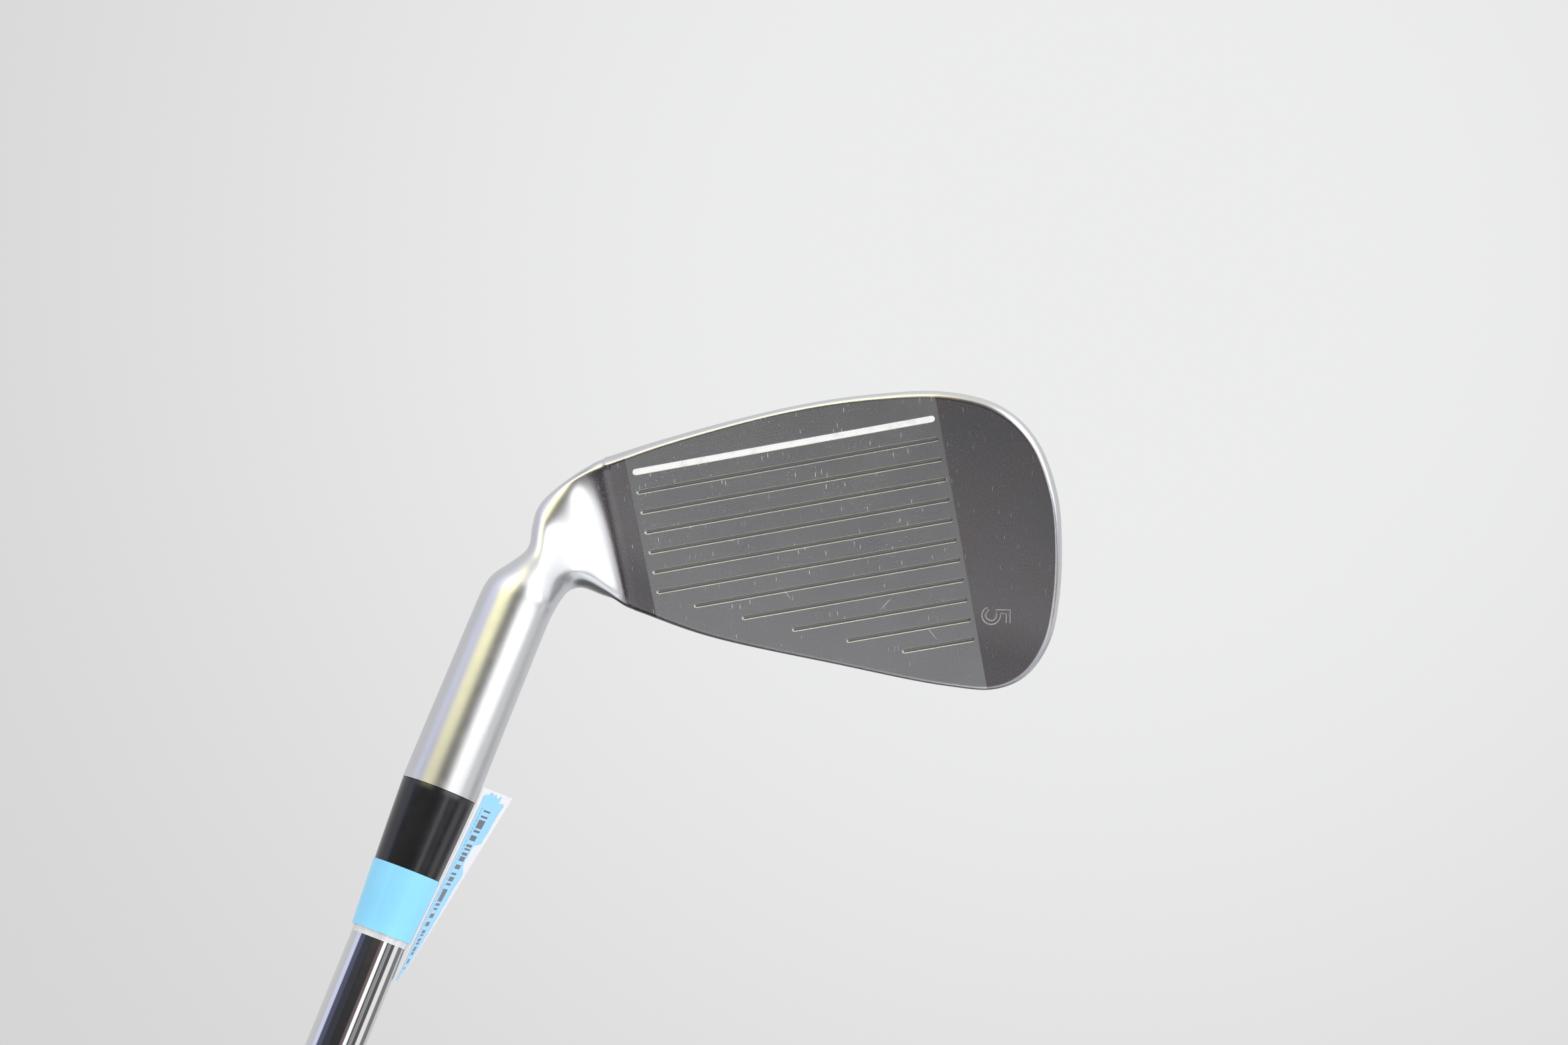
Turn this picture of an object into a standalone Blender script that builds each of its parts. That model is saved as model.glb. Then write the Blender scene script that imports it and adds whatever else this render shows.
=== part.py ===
"""A right-handed 5-iron: cast head, tapered ferrule, stepped steel shaft, rubber grip and stock label.

The club stands with its head up. The origin is the middle of the butt's end face and +Z runs along
the shaft axis to the head. Seen along +Y, the striking face looks back at the viewer, toe to +X.
The head is drawn in its own face frame, in millimetres: x runs along the grooves to the toe, y up
the face from sole to top line, z from the striking face into the head.
"""
import math

import bmesh
import bpy
from mathutils import Matrix, Vector

MM = 0.001

# Whole club
CLUB_LENGTH = 965.0             # butt to the ground, along the shaft axis
LOFT = math.radians(27.0)       # face against a plane through the shaft
LIE = math.radians(61.2)        # shaft against the ground
SOLE_DEPTH = 5.3                # from the face frame's origin down to the ground at address
FIT = 0.2                       # clearance between pieces that touch
SIDES = 32                      # sides of a turned piece

# Where the hosel axis runs, in the face frame
AXIS_FOOT = Vector((-78.0, 20.0, -10.8))

# Hosel, bore and shaft tip, measured along the axis from AXIS_FOOT towards the grip
HOSEL_RADIUS = 6.55
HOSEL_END = 31.0
BORE_START = 0.0
EPOXY_WALL = 0.2

# Shaft
TIP_RADIUS = 4.7
BUTT_RADIUS = 7.62
TIP_WALL = 0.9
BUTT_WALL = 0.65
BUTT_WALL_END = 100.0           # height where the wall starts to thicken towards the tip
TIP_SETBACK = 1.0               # from the bottom of the bore to the shaft's tip
STEP_COUNT = 13
FIRST_STEP = 700.0              # height of the step nearest the head
STEP_PITCH = 45.0
STEP_LENGTH = 1.0

# Ferrule
FERRULE_LENGTH = 24.5
FERRULE_END_RADIUS = 5.0

# Stock label
BAND_START = 14.3               # from the hosel's end
BAND_LENGTH = 11.1
PAPER = 0.12
PAPER_GAP = 0.1
FLAG_LENGTH = 35.0
FLAG_DEPTH = 12.0
FLAG_FRONT = 0.3                # of the axis, at the edge next to the shaft
FLAG_TOP_NEAR = 6.95            # from the axis to the toe, at the flag's four corners
FLAG_TOP_FAR = 11.4
FLAG_END_NEAR = 5.25
FLAG_END_FAR = 5.1
FLAG_RISE = 3.1                 # the flag's top edge above the hosel's end
FLAG_SKEW = 0.8

# Tip weight
WEIGHT_LENGTH = 14.0

# Grip
GRIP_LENGTH = 268.0
GRIP_BUTT_RADIUS = 13.3
GRIP_MOUTH_RADIUS = 8.9
GRIP_BEAD = 0.35                # how far the rolled mouth stands out
CAP_THICKNESS = 3.2
VENT_RADIUS = 1.5
TAPE_WALL = 0.25
TAPE_LENGTH = 255.0

# Shaft band
DECAL_START = 290.0
DECAL_LENGTH = 52.0

# Grooves: one pitch apart from the origin upwards
GROOVE_PITCH = 3.6
GROOVE_HEEL = -53.3
GROOVE_WIDTH = 0.75
LINE_WIDTH = 1.1
GROOVE_DEPTH = 0.5
SHORT_GROOVE_HEELS = (-47.3, -39.4, -31.1, -22.1, -12.8)
FULL_GROOVES = 7

# Perimeter of the blade from the heel end of the sole, round the toe, to the heel end of the top
# line. Each station holds the edge of the face (x, y), how far the edge rolls out and over how much
# depth, the back edge (x, y, z), and the rim of the cavity (x, y, z).
PERIMETER = (
    ((-57.0, -1.9), (1.3, 2.8), (-57.0, 4.6, 11.5), (-47.0, 10.5, 10.6)),
    ((-45.5, -3.7), (1.0, 2.0), (-45.5, 3.6, 14.8), (-39.5, 10.6, 11.4)),
    ((-25.0, -5.4), (0.8, 1.6), (-25.0, 3.0, 17.0), (-25.0, 10.8, 12.0)),
    ((-10.0, -4.9), (0.9, 1.6), (-9.6, 3.8, 17.4), (-10.5, 11.2, 12.2)),
    ((2.7, -2.8), (1.1, 1.8), (2.4, 5.4, 16.6), (0.5, 12.2, 12.0)),
    ((10.8, 1.3), (1.3, 2.0), (9.8, 8.4, 15.2), (6.4, 14.4, 11.4)),
    ((15.3, 7.5), (1.4, 2.4), (14.6, 12.2, 13.2), (9.6, 18.0, 10.6)),
    ((17.1, 17.0), (1.5, 2.6), (17.2, 19.0, 11.0), (11.2, 22.4, 9.4)),
    ((16.6, 25.3), (1.4, 2.6), (16.9, 25.6, 9.6), (11.0, 27.0, 8.6)),
    ((14.5, 35.2), (1.4, 2.4), (14.7, 35.0, 8.3), (9.0, 33.8, 7.6)),
    ((11.6, 42.3), (1.4, 2.0), (11.4, 41.9, 7.4), (5.8, 38.6, 7.0)),
    ((7.2, 47.0), (1.2, 1.6), (7.0, 46.5, 6.9), (2.4, 41.2, 6.6)),
    ((2.1, 48.5), (0.9, 1.4), (1.9, 48.1, 6.6), (-1.6, 41.6, 6.4)),
    ((-5.9, 46.6), (0.8, 1.2), (-5.9, 46.4, 6.4), (-8.0, 39.8, 6.2)),
    ((-24.0, 39.5), (0.8, 1.2), (-24.0, 39.3, 6.2), (-24.0, 33.6, 6.1)),
    ((-46.0, 30.2), (0.9, 1.3), (-46.0, 30.0, 6.4), (-41.0, 26.4, 6.3)),
    ((-57.0, 23.7), (1.1, 1.6), (-57.0, 23.6, 7.0), (-47.6, 22.0, 7.0)),
)
HEEL_RIM = ((-50.0, 19.4, 7.8), (-49.8, 13.4, 9.4))
CAVITY_FLOOR = 3.0              # thickness of the face behind the grooves
CAVITY_DRAFT = 0.8
HOLD = 0.6                      # ring that keeps the face flat up to its edge
BACK_ROUND = 1.0
SOLE_CAMBER = 0.7

# Sections through the neck, from the blade to the hosel: the heel side and the crotch side, the
# half depths towards the face and the back, how round the section has become, and how far its front
# ridge leans to the heel.
NECK = (
    ((-65.1, -0.5, 4.0), (-62.8, 21.5, 2.6), 6.2, 7.4, 0.50, 0.50),
    ((-71.2, 3.2, 3.5), (-65.9, 18.9, 0.8), 7.8, 6.6, 0.75, 0.40),
    ((-72.9, 6.5, 1.6), (-67.3, 18.1, -1.6), 7.8, 6.3, 0.88, 0.26),
    ((-73.8, 10.1, -1.4), (-68.3, 18.0, -4.4), 7.3, 6.3, 0.95, 0.14),
    ((-76.8, 11.2, -5.2), (-69.2, 18.9, -7.2), 6.9, 6.4, 1.0, 0.05),
    ((-79.9, 12.1, -8.2), (-70.0, 20.0, -8.8), 6.6, 6.5, 1.0, 0.0),
)
SHOULDER = Vector((-2.0, 0.15, -1.4))  # how far the blade's section carries on, and how it tapers
FIRST_HOSEL_RING = -2.0

# Cavity pieces
INSERT_TOP = 18.6
INSERT_THICKNESS = 4.6
BADGE_FOOT = 19.6
BADGE_THICKNESS = 1.1
BADGE_BORDER = 2.6
INSERT_BORDER = 1.4

# How finely the blade is divided
COLUMNS_PER_STATION = 3
HEEL_COLUMNS = 6
NECK_STEPS = 3


def clear_scene():
    for old in list(bpy.data.objects):
        bpy.data.objects.remove(old, do_unlink=True)


def paint(name, color, roughness, metallic):
    material = bpy.data.materials.new(name)
    material.use_nodes = True
    shader = material.node_tree.nodes["Principled BSDF"]
    shader.inputs["Base Color"].default_value = (*color, 1.0)
    shader.inputs["Roughness"].default_value = roughness
    shader.inputs["Metallic"].default_value = metallic
    return material


def add_object(name, bm, material=None, smooth_angle=35.0):
    """Close a bmesh drawn in millimetres into a named object in metres."""
    bmesh.ops.remove_doubles(bm, verts=bm.verts, dist=0.001)
    bmesh.ops.recalc_face_normals(bm, faces=bm.faces)
    bmesh.ops.scale(bm, vec=(MM, MM, MM), verts=bm.verts)
    mesh = bpy.data.meshes.new(name)
    bm.to_mesh(mesh)
    bm.free()
    mesh.shade_smooth()
    mesh.set_sharp_from_angle(angle=math.radians(smooth_angle))
    obj = bpy.data.objects.new(name, mesh)
    bpy.context.scene.collection.objects.link(obj)
    if material:
        mesh.materials.append(material)
    return obj


def cut(obj, cutter):
    """Subtract a hidden cutter from an object."""
    cutter.hide_render = True
    cutter.display_type = "WIRE"
    modifier = obj.modifiers.new("cut_" + cutter.name, "BOOLEAN")
    modifier.operation = "DIFFERENCE"
    modifier.solver = "EXACT"
    modifier.object = cutter


def curve_through(points, steps):
    """Points on a smooth curve that passes through the given ones, of any dimension."""
    keys = [Vector(p) for p in points]
    keys = [2 * keys[0] - keys[1]] + keys + [2 * keys[-1] - keys[-2]]
    curve = []
    for a, b, c, d in zip(keys, keys[1:], keys[2:], keys[3:]):
        spans = [math.sqrt((q - p).length) + 1e-6 for p, q in ((a, b), (b, c), (c, d))]
        start = (c - b) + spans[1] * ((b - a) / spans[0] - (c - a) / (spans[0] + spans[1]))
        end = (c - b) + spans[1] * ((d - c) / spans[2] - (d - b) / (spans[1] + spans[2]))
        for step in range(steps):
            t = step / steps
            curve.append((2 * t**3 - 3 * t**2 + 1) * b + (t**3 - 2 * t**2 + t) * start
                         + (3 * t**2 - 2 * t**3) * c + (t**3 - t**2) * end)
    curve.append(keys[-2])
    return curve


def add_loop(bm, points):
    return [bm.verts.new(p) for p in points]


def skin(bm, loop_a, loop_b, closed=True):
    """Faces between two loops of equal length."""
    count = len(loop_a)
    for i in range(count if closed else count - 1):
        j = (i + 1) % count
        corners = []
        for vert in (loop_a[i], loop_a[j], loop_b[j], loop_b[i]):
            if vert not in corners:
                corners.append(vert)
        if len(corners) > 2:
            bm.faces.new(corners)


def stack(loops, cap_start=True, cap_end=True):
    """A closed body through a stack of loops."""
    bm = bmesh.new()
    rings = [add_loop(bm, loop) for loop in loops]
    for below, above in zip(rings, rings[1:]):
        skin(bm, below, above)
    if cap_start:
        bm.faces.new(rings[0])
    if cap_end:
        bm.faces.new(rings[-1])
    return bm


def turned(profile, sides=SIDES):
    """Spin a closed profile of (radius, height) points round Z into a ring."""
    bm = bmesh.new()
    loop = [bm.verts.new((radius, 0.0, height)) for radius, height in profile]
    edges = [bm.edges.new((loop[i], loop[(i + 1) % len(loop)])) for i in range(len(loop))]
    bmesh.ops.spin(bm, geom=loop + edges, axis=(0, 0, 1), cent=(0, 0, 0), angle=math.tau,
                   steps=sides, use_merge=True)
    return bm


# Frames -------------------------------------------------------------------------------------------

def shaft_direction():
    """From the head to the grip, in the face frame."""
    return Vector((-math.cos(LIE), math.sin(LIE) * math.cos(LOFT), -math.sin(LIE) * math.sin(LOFT)))


def head_sides():
    """Across the hosel: towards the toe in the face plane, and towards the front."""
    along = shaft_direction()
    inward = Vector((-along.y, along.x, 0.0)).normalized() * -1
    front = inward.cross(along).normalized()
    if front.z > 0:
        front = -front
    return inward, front


def foot_height():
    """Height of AXIS_FOOT in the standing club."""
    along = shaft_direction()
    foot_up = AXIS_FOOT.y * math.cos(LOFT) - AXIS_FOOT.z * math.sin(LOFT)
    along_up = along.y * math.cos(LOFT) - along.z * math.sin(LOFT)
    return CLUB_LENGTH - (foot_up + SOLE_DEPTH) / along_up


def face_frame():
    """Matrix from the face frame, in metres, to the standing club."""
    along = shaft_direction()
    into_head_z = -along.z
    into_head = Vector((0.0, math.sqrt(1.0 - into_head_z**2), into_head_z))
    toeward_z = -along.x
    toeward_y = -toeward_z * into_head.z / into_head.y
    toeward = Vector((math.sqrt(1.0 - toeward_z**2 - toeward_y**2), toeward_y, toeward_z))
    turn = Matrix((toeward, into_head.cross(toeward), into_head)).transposed()
    place = Vector((0.0, 0.0, foot_height())) * MM - turn @ (AXIS_FOOT * MM)
    return Matrix.Translation(place) @ turn.to_4x4()


# Head ---------------------------------------------------------------------------------------------

def perimeter_stations():
    """The blade's stations along a smooth perimeter."""
    keys = [tuple(value for group in station for value in group) for station in PERIMETER]
    stations = []
    for value in curve_through_rows(keys, COLUMNS_PER_STATION):
        stations.append({"edge": Vector((value[0], value[1], 0.0)), "roll": value[2], "drop": value[3],
                         "back": Vector(value[4:7]), "rim": Vector(value[7:10])})
    return stations


def curve_through_rows(rows, steps):
    """curve_through for rows with more numbers than a Vector's curve needs, span by edge length."""
    groups = [curve_through([row[i:i + 2] for row in rows], steps) for i in range(0, len(rows[0]), 2)]
    return [[number for group in groups for number in group[i]] for i in range(len(groups[0]))]


def edge_normals(stations):
    normals = []
    last = len(stations) - 1
    for i in range(last + 1):
        along = stations[min(i + 1, last)]["edge"] - stations[max(i - 1, 0)]["edge"]
        normals.append(Vector((along.y, -along.x, 0.0)).normalized())
    return normals


def wall_profile(station, outward):
    """From the face's edge, over the rolled lip, down the wall, to the back face."""
    edge, back = station["edge"], station["back"]
    depth = Vector((0.0, 0.0, station["drop"]))
    points = []
    for turn in (0.0, 45.0, 90.0):
        angle = math.radians(turn)
        points.append(edge + outward * station["roll"] * math.sin(angle) + depth * (1 - math.cos(angle)))
    widest = points[-1]
    slope = (back - widest).normalized()
    middle = widest.lerp(back, 0.5) + outward * SOLE_CAMBER * min(1.0, (back - widest).length / 15.0)
    inward = (station["rim"] - back).normalized()
    points += [middle, back - slope * BACK_ROUND, back + inward * BACK_ROUND]
    return points


def heel_line(start, end):
    return [start.lerp(end, i / HEEL_COLUMNS) for i in range(1, HEEL_COLUMNS)]


def blade_and_neck():
    """The solid head before its grooves, cavity and bore are cut."""
    bm = bmesh.new()
    stations = perimeter_stations()
    normals = edge_normals(stations)
    profiles = [add_loop(bm, wall_profile(s, n)) for s, n in zip(stations, normals)]
    for column_a, column_b in zip(profiles, profiles[1:]):
        skin(bm, column_a, column_b, closed=False)

    front_heel = add_loop(bm, heel_line(profiles[-1][0].co, profiles[0][0].co))
    back_heel = add_loop(bm, heel_line(profiles[-1][-1].co, profiles[0][-1].co))

    edge_ring = [column[0] for column in profiles] + front_heel
    hold = [s["edge"] - n * HOLD for s, n in zip(stations, normals)]
    hold[0].x = hold[-1].x = stations[0]["edge"].x + HOLD
    hold += [vert.co + Vector((HOLD, 0.0, 0.0)) for vert in front_heel]
    hold_ring = add_loop(bm, hold)
    skin(bm, edge_ring, hold_ring)
    bm.faces.new(hold_ring)

    back_ring = [column[-1] for column in profiles] + back_heel
    rim = [s["rim"] for s in stations]
    rim += curve_through([rim[-1], *HEEL_RIM, rim[0]], HEEL_COLUMNS // 3)[1:-1]
    rim_ring = add_loop(bm, rim)
    skin(bm, back_ring, rim_ring)
    middle = sum(rim, Vector()) / len(rim)
    floor_ring = []
    for point in rim:
        inner = point + (middle - point).normalized() * CAVITY_DRAFT
        floor_ring.append(bm.verts.new((inner.x, inner.y, CAVITY_FLOOR)))
    skin(bm, rim_ring, floor_ring)
    bm.faces.new(floor_ring)

    mouth = profiles[0][:1] + front_heel[::-1] + profiles[-1] + back_heel + profiles[0][:0:-1]
    ahead = Vector((profiles[1][0].co.x - profiles[0][0].co.x, 0.0, 0.0))
    behind = [vert.co.copy() for vert in profiles[1][:1]]
    behind += [vert.co + ahead for vert in front_heel[::-1]]
    behind += [vert.co.copy() for vert in profiles[-2]]
    behind += [vert.co + ahead for vert in back_heel]
    behind += [vert.co.copy() for vert in profiles[1][:0:-1]]
    rings = neck_rings([vert.co.copy() for vert in mouth], behind)
    last = mouth
    for ring in rings:
        new = add_loop(bm, ring)
        skin(bm, last, new)
        last = new
    bm.faces.new(last)
    return bm


def neck_rings(mouth, behind):
    """Rings from the blade's open heel through the neck to the end of the hosel."""
    along = shaft_direction()
    inward, front = head_sides()
    low, high = mouth[0].y, max(point.y for point in mouth)
    half, middle_y = (high - low) / 2, (low + high) / 2
    deepest = max(point.z for point in mouth) - 5.0
    shape = [((p.y - middle_y) / half, (5.0 - p.z) / (5.0 if p.z < 5.0 else deepest)) for p in mouth]
    angles = [math.atan2(out, across) for across, out in shape]

    shoulder = [p + Vector((SHOULDER.x, SHOULDER.y + SHOULDER.z * (p.y - low) / (high - low), 0.0))
                for p in mouth]
    sections = [behind, mouth, shoulder]
    for heel, crotch, front_depth, back_depth, roundness, lean in NECK:
        heel, crotch = Vector(heel), Vector(crotch)
        middle, side = (heel + crotch) / 2, (crotch - heel) / 2
        out = Vector((0.0, 0.0, -1.0)).lerp(front, roundness)
        out = (out - side * out.dot(side) / side.length_squared).normalized()
        ring = []
        for (across, outward), angle in zip(shape, angles):
            u = across + (math.cos(angle) - across) * roundness
            v = outward + (math.sin(angle) - outward) * roundness
            u -= lean * max(0.0, v) * (1.0 - u * u)
            ring.append(middle + side * u + out * v * (front_depth if v > 0 else back_depth))
        sections.append(ring)
    for distance in (FIRST_HOSEL_RING, HOSEL_END * 0.3, HOSEL_END):
        centre = AXIS_FOOT + along * distance
        sections.append([centre + (inward * math.cos(a) + front * math.sin(a)) * HOSEL_RADIUS
                         for a in angles])
    paths = [curve_through(path, NECK_STEPS) for path in zip(*sections)]
    curved = (len(sections) - 3) * NECK_STEPS
    kept = list(range(NECK_STEPS + 1, curved + 1)) + [len(paths[0]) - 1]
    return [[path[i] for path in paths] for i in kept]


def slot_outline(heel, toe, y, width, z, ends=4):
    """A straight slot with round ends."""
    radius = width / 2
    points = []
    for centre, start in ((toe - radius, -90.0), (heel + radius, 90.0)):
        for i in range(ends + 1):
            angle = math.radians(start + 180.0 * i / ends)
            points.append(Vector((centre + radius * math.cos(angle), y + radius * math.sin(angle), z)))
    return points


def groove_rows():
    """Heel end, height and width of each groove; the lowest is the wide aiming line."""
    heels = [GROOVE_HEEL] * FULL_GROOVES + list(SHORT_GROOVE_HEELS)
    return [(heel, i * GROOVE_PITCH, GROOVE_WIDTH if i else LINE_WIDTH) for i, heel in enumerate(heels)]


def groove_cutter():
    bm = bmesh.new()
    for heel, y, width in groove_rows():
        rings = [add_loop(bm, slot_outline(heel, 0.0, y, width, -1.0)),
                 add_loop(bm, slot_outline(heel + 0.1, -0.1, y, width * 0.75, GROOVE_DEPTH))]
        skin(bm, *rings)
        bm.faces.new(rings[0])
        bm.faces.new(rings[1])
    return add_object("groove_cutter", bm)


def bore_cutter():
    """A cylinder along the hosel axis for the shaft and its adhesive."""
    along = shaft_direction()
    inward, front = head_sides()
    loops = []
    for distance in (BORE_START, HOSEL_END + 5.0):
        centre = AXIS_FOOT + along * distance
        radius = TIP_RADIUS + 2 * FIT + EPOXY_WALL
        loops.append([centre + (inward * math.cos(a) + front * math.sin(a)) * radius
                      for a in (math.tau * i / SIDES for i in range(SIDES))])
    return add_object("bore_cutter", stack(loops))


def in_face_frame(*objects):
    for obj in objects:
        obj.matrix_world = face_frame()


def make_head():
    steel = paint("satin_steel", (0.36, 0.36, 0.37), 0.32, 1.0)
    head = add_object("head_casting", blade_and_neck(), steel, 40.0)
    grooves, bore = groove_cutter(), bore_cutter()
    in_face_frame(head, grooves, bore)
    cut(head, grooves)
    cut(head, bore)


def make_aim_line():
    """White paint that fills the lowest groove."""
    white = paint("white_paint", (0.88, 0.88, 0.86), 0.45, 0.0)
    heel, y, width = groove_rows()[0]
    gap = FIT * 0.75
    loops = [slot_outline(heel + gap, -gap, y, width - 2 * gap, 0.05),
             slot_outline(heel + gap + 0.1, -gap - 0.1, y, width * 0.75 - 2 * gap, GROOVE_DEPTH - gap)]
    in_face_frame(add_object("aim_line_paint", stack(loops), white))


def cavity_outline(border):
    """The cavity floor's outline, drawn in by a border."""
    keys = [Vector(station[3][:2]).to_3d() for station in PERIMETER]
    keys += [Vector((*point[:2], 0.0)) for point in HEEL_RIM]
    points = curve_through(keys + [keys[0]], 2)[:-1]
    inset = []
    for i, point in enumerate(points):
        along = points[(i + 1) % len(points)] - points[i - 1]
        inset.append(point + Vector((-along.y, along.x, 0.0)).normalized() * border)
    return inset


def stretch_of_outline(border, wanted):
    """The unbroken run of the cavity's outline where wanted is true, in its own order."""
    points = cavity_outline(border)
    start = next(i for i in range(len(points)) if wanted(points[i]) and not wanted(points[i - 1]))
    return [p for p in points[start:] + points[:start] if wanted(p)]


def squared_off(run, height):
    """Close a run of outline with a straight edge at the given height."""
    return run + [Vector((run[-1].x, height, 0.0)), Vector((run[0].x, height, 0.0))]


def plate(outline, low, high):
    return stack([[Vector((p.x, p.y, z)) for p in outline] for z in (low, high)])


def make_cavity_pieces():
    """The soft insert along the sole of the cavity, and the badge on the back of the face."""
    rubber = paint("damping_rubber", (0.03, 0.03, 0.035), 0.6, 0.0)
    metal = paint("badge_plate", (0.45, 0.46, 0.48), 0.35, 1.0)
    floor = CAVITY_FLOOR + FIT
    low = squared_off(stretch_of_outline(INSERT_BORDER, lambda p: p.y < INSERT_TOP - 1.0), INSERT_TOP)
    insert = add_object("cavity_insert", plate(low, floor, floor + INSERT_THICKNESS), rubber)
    high = squared_off(stretch_of_outline(BADGE_BORDER, lambda p: p.y > BADGE_FOOT), BADGE_FOOT)
    badge = add_object("cavity_badge", plate(high, floor, floor + BADGE_THICKNESS), metal)
    in_face_frame(insert, badge)


# Shaft, ferrule and adhesive ----------------------------------------------------------------------

def along_axis(distance):
    """Height of a point on the shaft axis, from its distance past AXIS_FOOT towards the grip."""
    return foot_height() - distance


def shaft_radius_steps():
    """(height, radius) down the outside of the shaft, from the tip to the butt."""
    drop = (BUTT_RADIUS - TIP_RADIUS) / STEP_COUNT
    points = [(along_axis(BORE_START + TIP_SETBACK), TIP_RADIUS)]
    for i in range(STEP_COUNT):
        height = FIRST_STEP - i * STEP_PITCH
        points.append((height, TIP_RADIUS + i * drop))
        points.append((height - STEP_LENGTH, TIP_RADIUS + (i + 1) * drop))
    points.append((CAP_THICKNESS + FIT, BUTT_RADIUS))
    return points


def make_shaft():
    chrome = paint("chromed_steel", (0.62, 0.62, 0.63), 0.06, 1.0)
    outside = shaft_radius_steps()
    top, bottom = outside[0][0], outside[-1][0]
    inside = [(BUTT_RADIUS - BUTT_WALL, bottom), (BUTT_RADIUS - BUTT_WALL, BUTT_WALL_END),
              (TIP_RADIUS - TIP_WALL, FIRST_STEP), (TIP_RADIUS - TIP_WALL, top)]
    profile = [(radius, height) for height, radius in outside] + inside
    add_object("shaft", turned(profile), chrome, 30.0)


def make_tip_weight():
    brass = paint("tip_weight", (0.55, 0.42, 0.2), 0.4, 1.0)
    top = along_axis(BORE_START + TIP_SETBACK + 0.5)
    radius = TIP_RADIUS - TIP_WALL - FIT
    bm = bmesh.new()
    bmesh.ops.create_cone(bm, cap_ends=True, segments=SIDES, radius1=radius, radius2=radius,
                          depth=WEIGHT_LENGTH, matrix=Matrix.Translation((0, 0, top - WEIGHT_LENGTH / 2)))
    add_object("tip_weight", bm, brass)


def make_epoxy():
    """The sleeve of cured adhesive between shaft and hosel."""
    amber = paint("cured_epoxy", (0.55, 0.42, 0.2), 0.3, 0.0)
    inner = TIP_RADIUS + FIT
    low, high = along_axis(HOSEL_END - 0.5), along_axis(BORE_START + FIT)
    profile = [(inner, low), (inner + EPOXY_WALL, low), (inner + EPOXY_WALL, high), (inner, high)]
    add_object("hosel_epoxy", turned(profile), amber)


def ferrule_radius(distance):
    """Outer radius at a distance below the hosel's end: a cone that bows outwards."""
    t = distance / FERRULE_LENGTH
    return HOSEL_RADIUS - 0.1 - (HOSEL_RADIUS - 0.1 - FERRULE_END_RADIUS) * (0.72 * t + 0.28 * t**2)


def make_ferrule():
    black = paint("ferrule_plastic", (0.012, 0.012, 0.014), 0.25, 0.0)
    start = along_axis(HOSEL_END + FIT)
    outside = [(ferrule_radius(FERRULE_LENGTH * i / 6), start - FERRULE_LENGTH * i / 6) for i in range(7)]
    inner = TIP_RADIUS + FIT / 2
    profile = outside + [(inner, start - FERRULE_LENGTH), (inner, start)]
    add_object("ferrule", turned(profile), black)


# Stock label --------------------------------------------------------------------------------------

def make_label_band():
    """Paper wrapped once round the lower ferrule."""
    blue = paint("label_paper", (0.24, 0.62, 0.93), 0.5, 0.0)
    start = along_axis(HOSEL_END)
    outside, inside = [], []
    for i in range(5):
        distance = BAND_START + BAND_LENGTH * i / 4
        inner = ferrule_radius(min(distance, FERRULE_LENGTH)) + PAPER_GAP
        outside.append((inner + PAPER, start - distance))
        inside.append((inner, start - distance))
    add_object("label_band", turned(outside + inside[::-1]), blue)


def flag_point(u, v):
    """On the flag, u from the shaft outwards and v from its top edge down: towards the toe, towards
    the front, and along the axis from AXIS_FOOT."""
    near = Vector((FLAG_TOP_NEAR, FLAG_FRONT)).lerp(Vector((FLAG_END_NEAR, FLAG_FRONT)), v)
    back = FLAG_FRONT - FLAG_DEPTH
    far = Vector((FLAG_TOP_FAR, back)).lerp(Vector((FLAG_END_FAR, back)), v)
    place = near.lerp(far, u)
    return place.x, place.y, HOSEL_END - FLAG_RISE - FLAG_SKEW * u + FLAG_LENGTH * v


def make_label_flag():
    """The label's two glued ends, standing off the shaft as a slightly twisted flag."""
    blue = bpy.data.materials["label_paper"]
    inward_axis, front_axis = head_sides()
    along = shaft_direction()
    rows, columns = 8, 3
    loops = []
    for j in range(columns + 1):
        sides = []
        for thickness in (0.0, PAPER):
            side = []
            for i in range(rows + 1):
                inward, front, distance = flag_point(j / columns, i / rows)
                side.append(AXIS_FOOT + along * distance + inward_axis * (inward + thickness)
                            + front_axis * front)
            sides.append(side)
        loops.append(sides[0] + sides[1][::-1])
    in_face_frame(add_object("label_flag", stack(loops), blue))


# Grip ---------------------------------------------------------------------------------------------

def shaft_radius_at(height):
    steps = shaft_radius_steps()
    for (high, radius), (low, wider) in zip(steps, steps[1:]):
        if low <= height <= high:
            return max(radius, wider)
    return BUTT_RADIUS


def make_grip_tape():
    paper = paint("grip_tape", (0.78, 0.72, 0.6), 0.8, 0.0)
    inner = BUTT_RADIUS + FIT
    low, high = CAP_THICKNESS + 1.0, TAPE_LENGTH
    profile = [(inner, low), (inner + TAPE_WALL, low), (inner + TAPE_WALL, high), (inner, high)]
    add_object("grip_tape", turned(profile), paper)


def make_grip():
    """A tapered rubber sleeve with a rolled mouth, open at both ends."""
    rubber = paint("grip_rubber", (0.018, 0.018, 0.019), 0.75, 0.0)
    inner = BUTT_RADIUS + 2 * FIT + TAPE_WALL
    outside = [(GRIP_BUTT_RADIUS, CAP_THICKNESS + FIT), (GRIP_BUTT_RADIUS, 14.0),
               (GRIP_BUTT_RADIUS - 0.9, 60.0), (GRIP_MOUTH_RADIUS + 1.5, 180.0),
               (GRIP_MOUTH_RADIUS + GRIP_BEAD, GRIP_LENGTH - 8.0), (GRIP_MOUTH_RADIUS + GRIP_BEAD, GRIP_LENGTH - 2.0),
               (GRIP_MOUTH_RADIUS, GRIP_LENGTH)]
    profile = outside + [(inner, GRIP_LENGTH), (inner, CAP_THICKNESS + FIT)]
    add_object("grip_sleeve", turned(profile), rubber)


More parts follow.
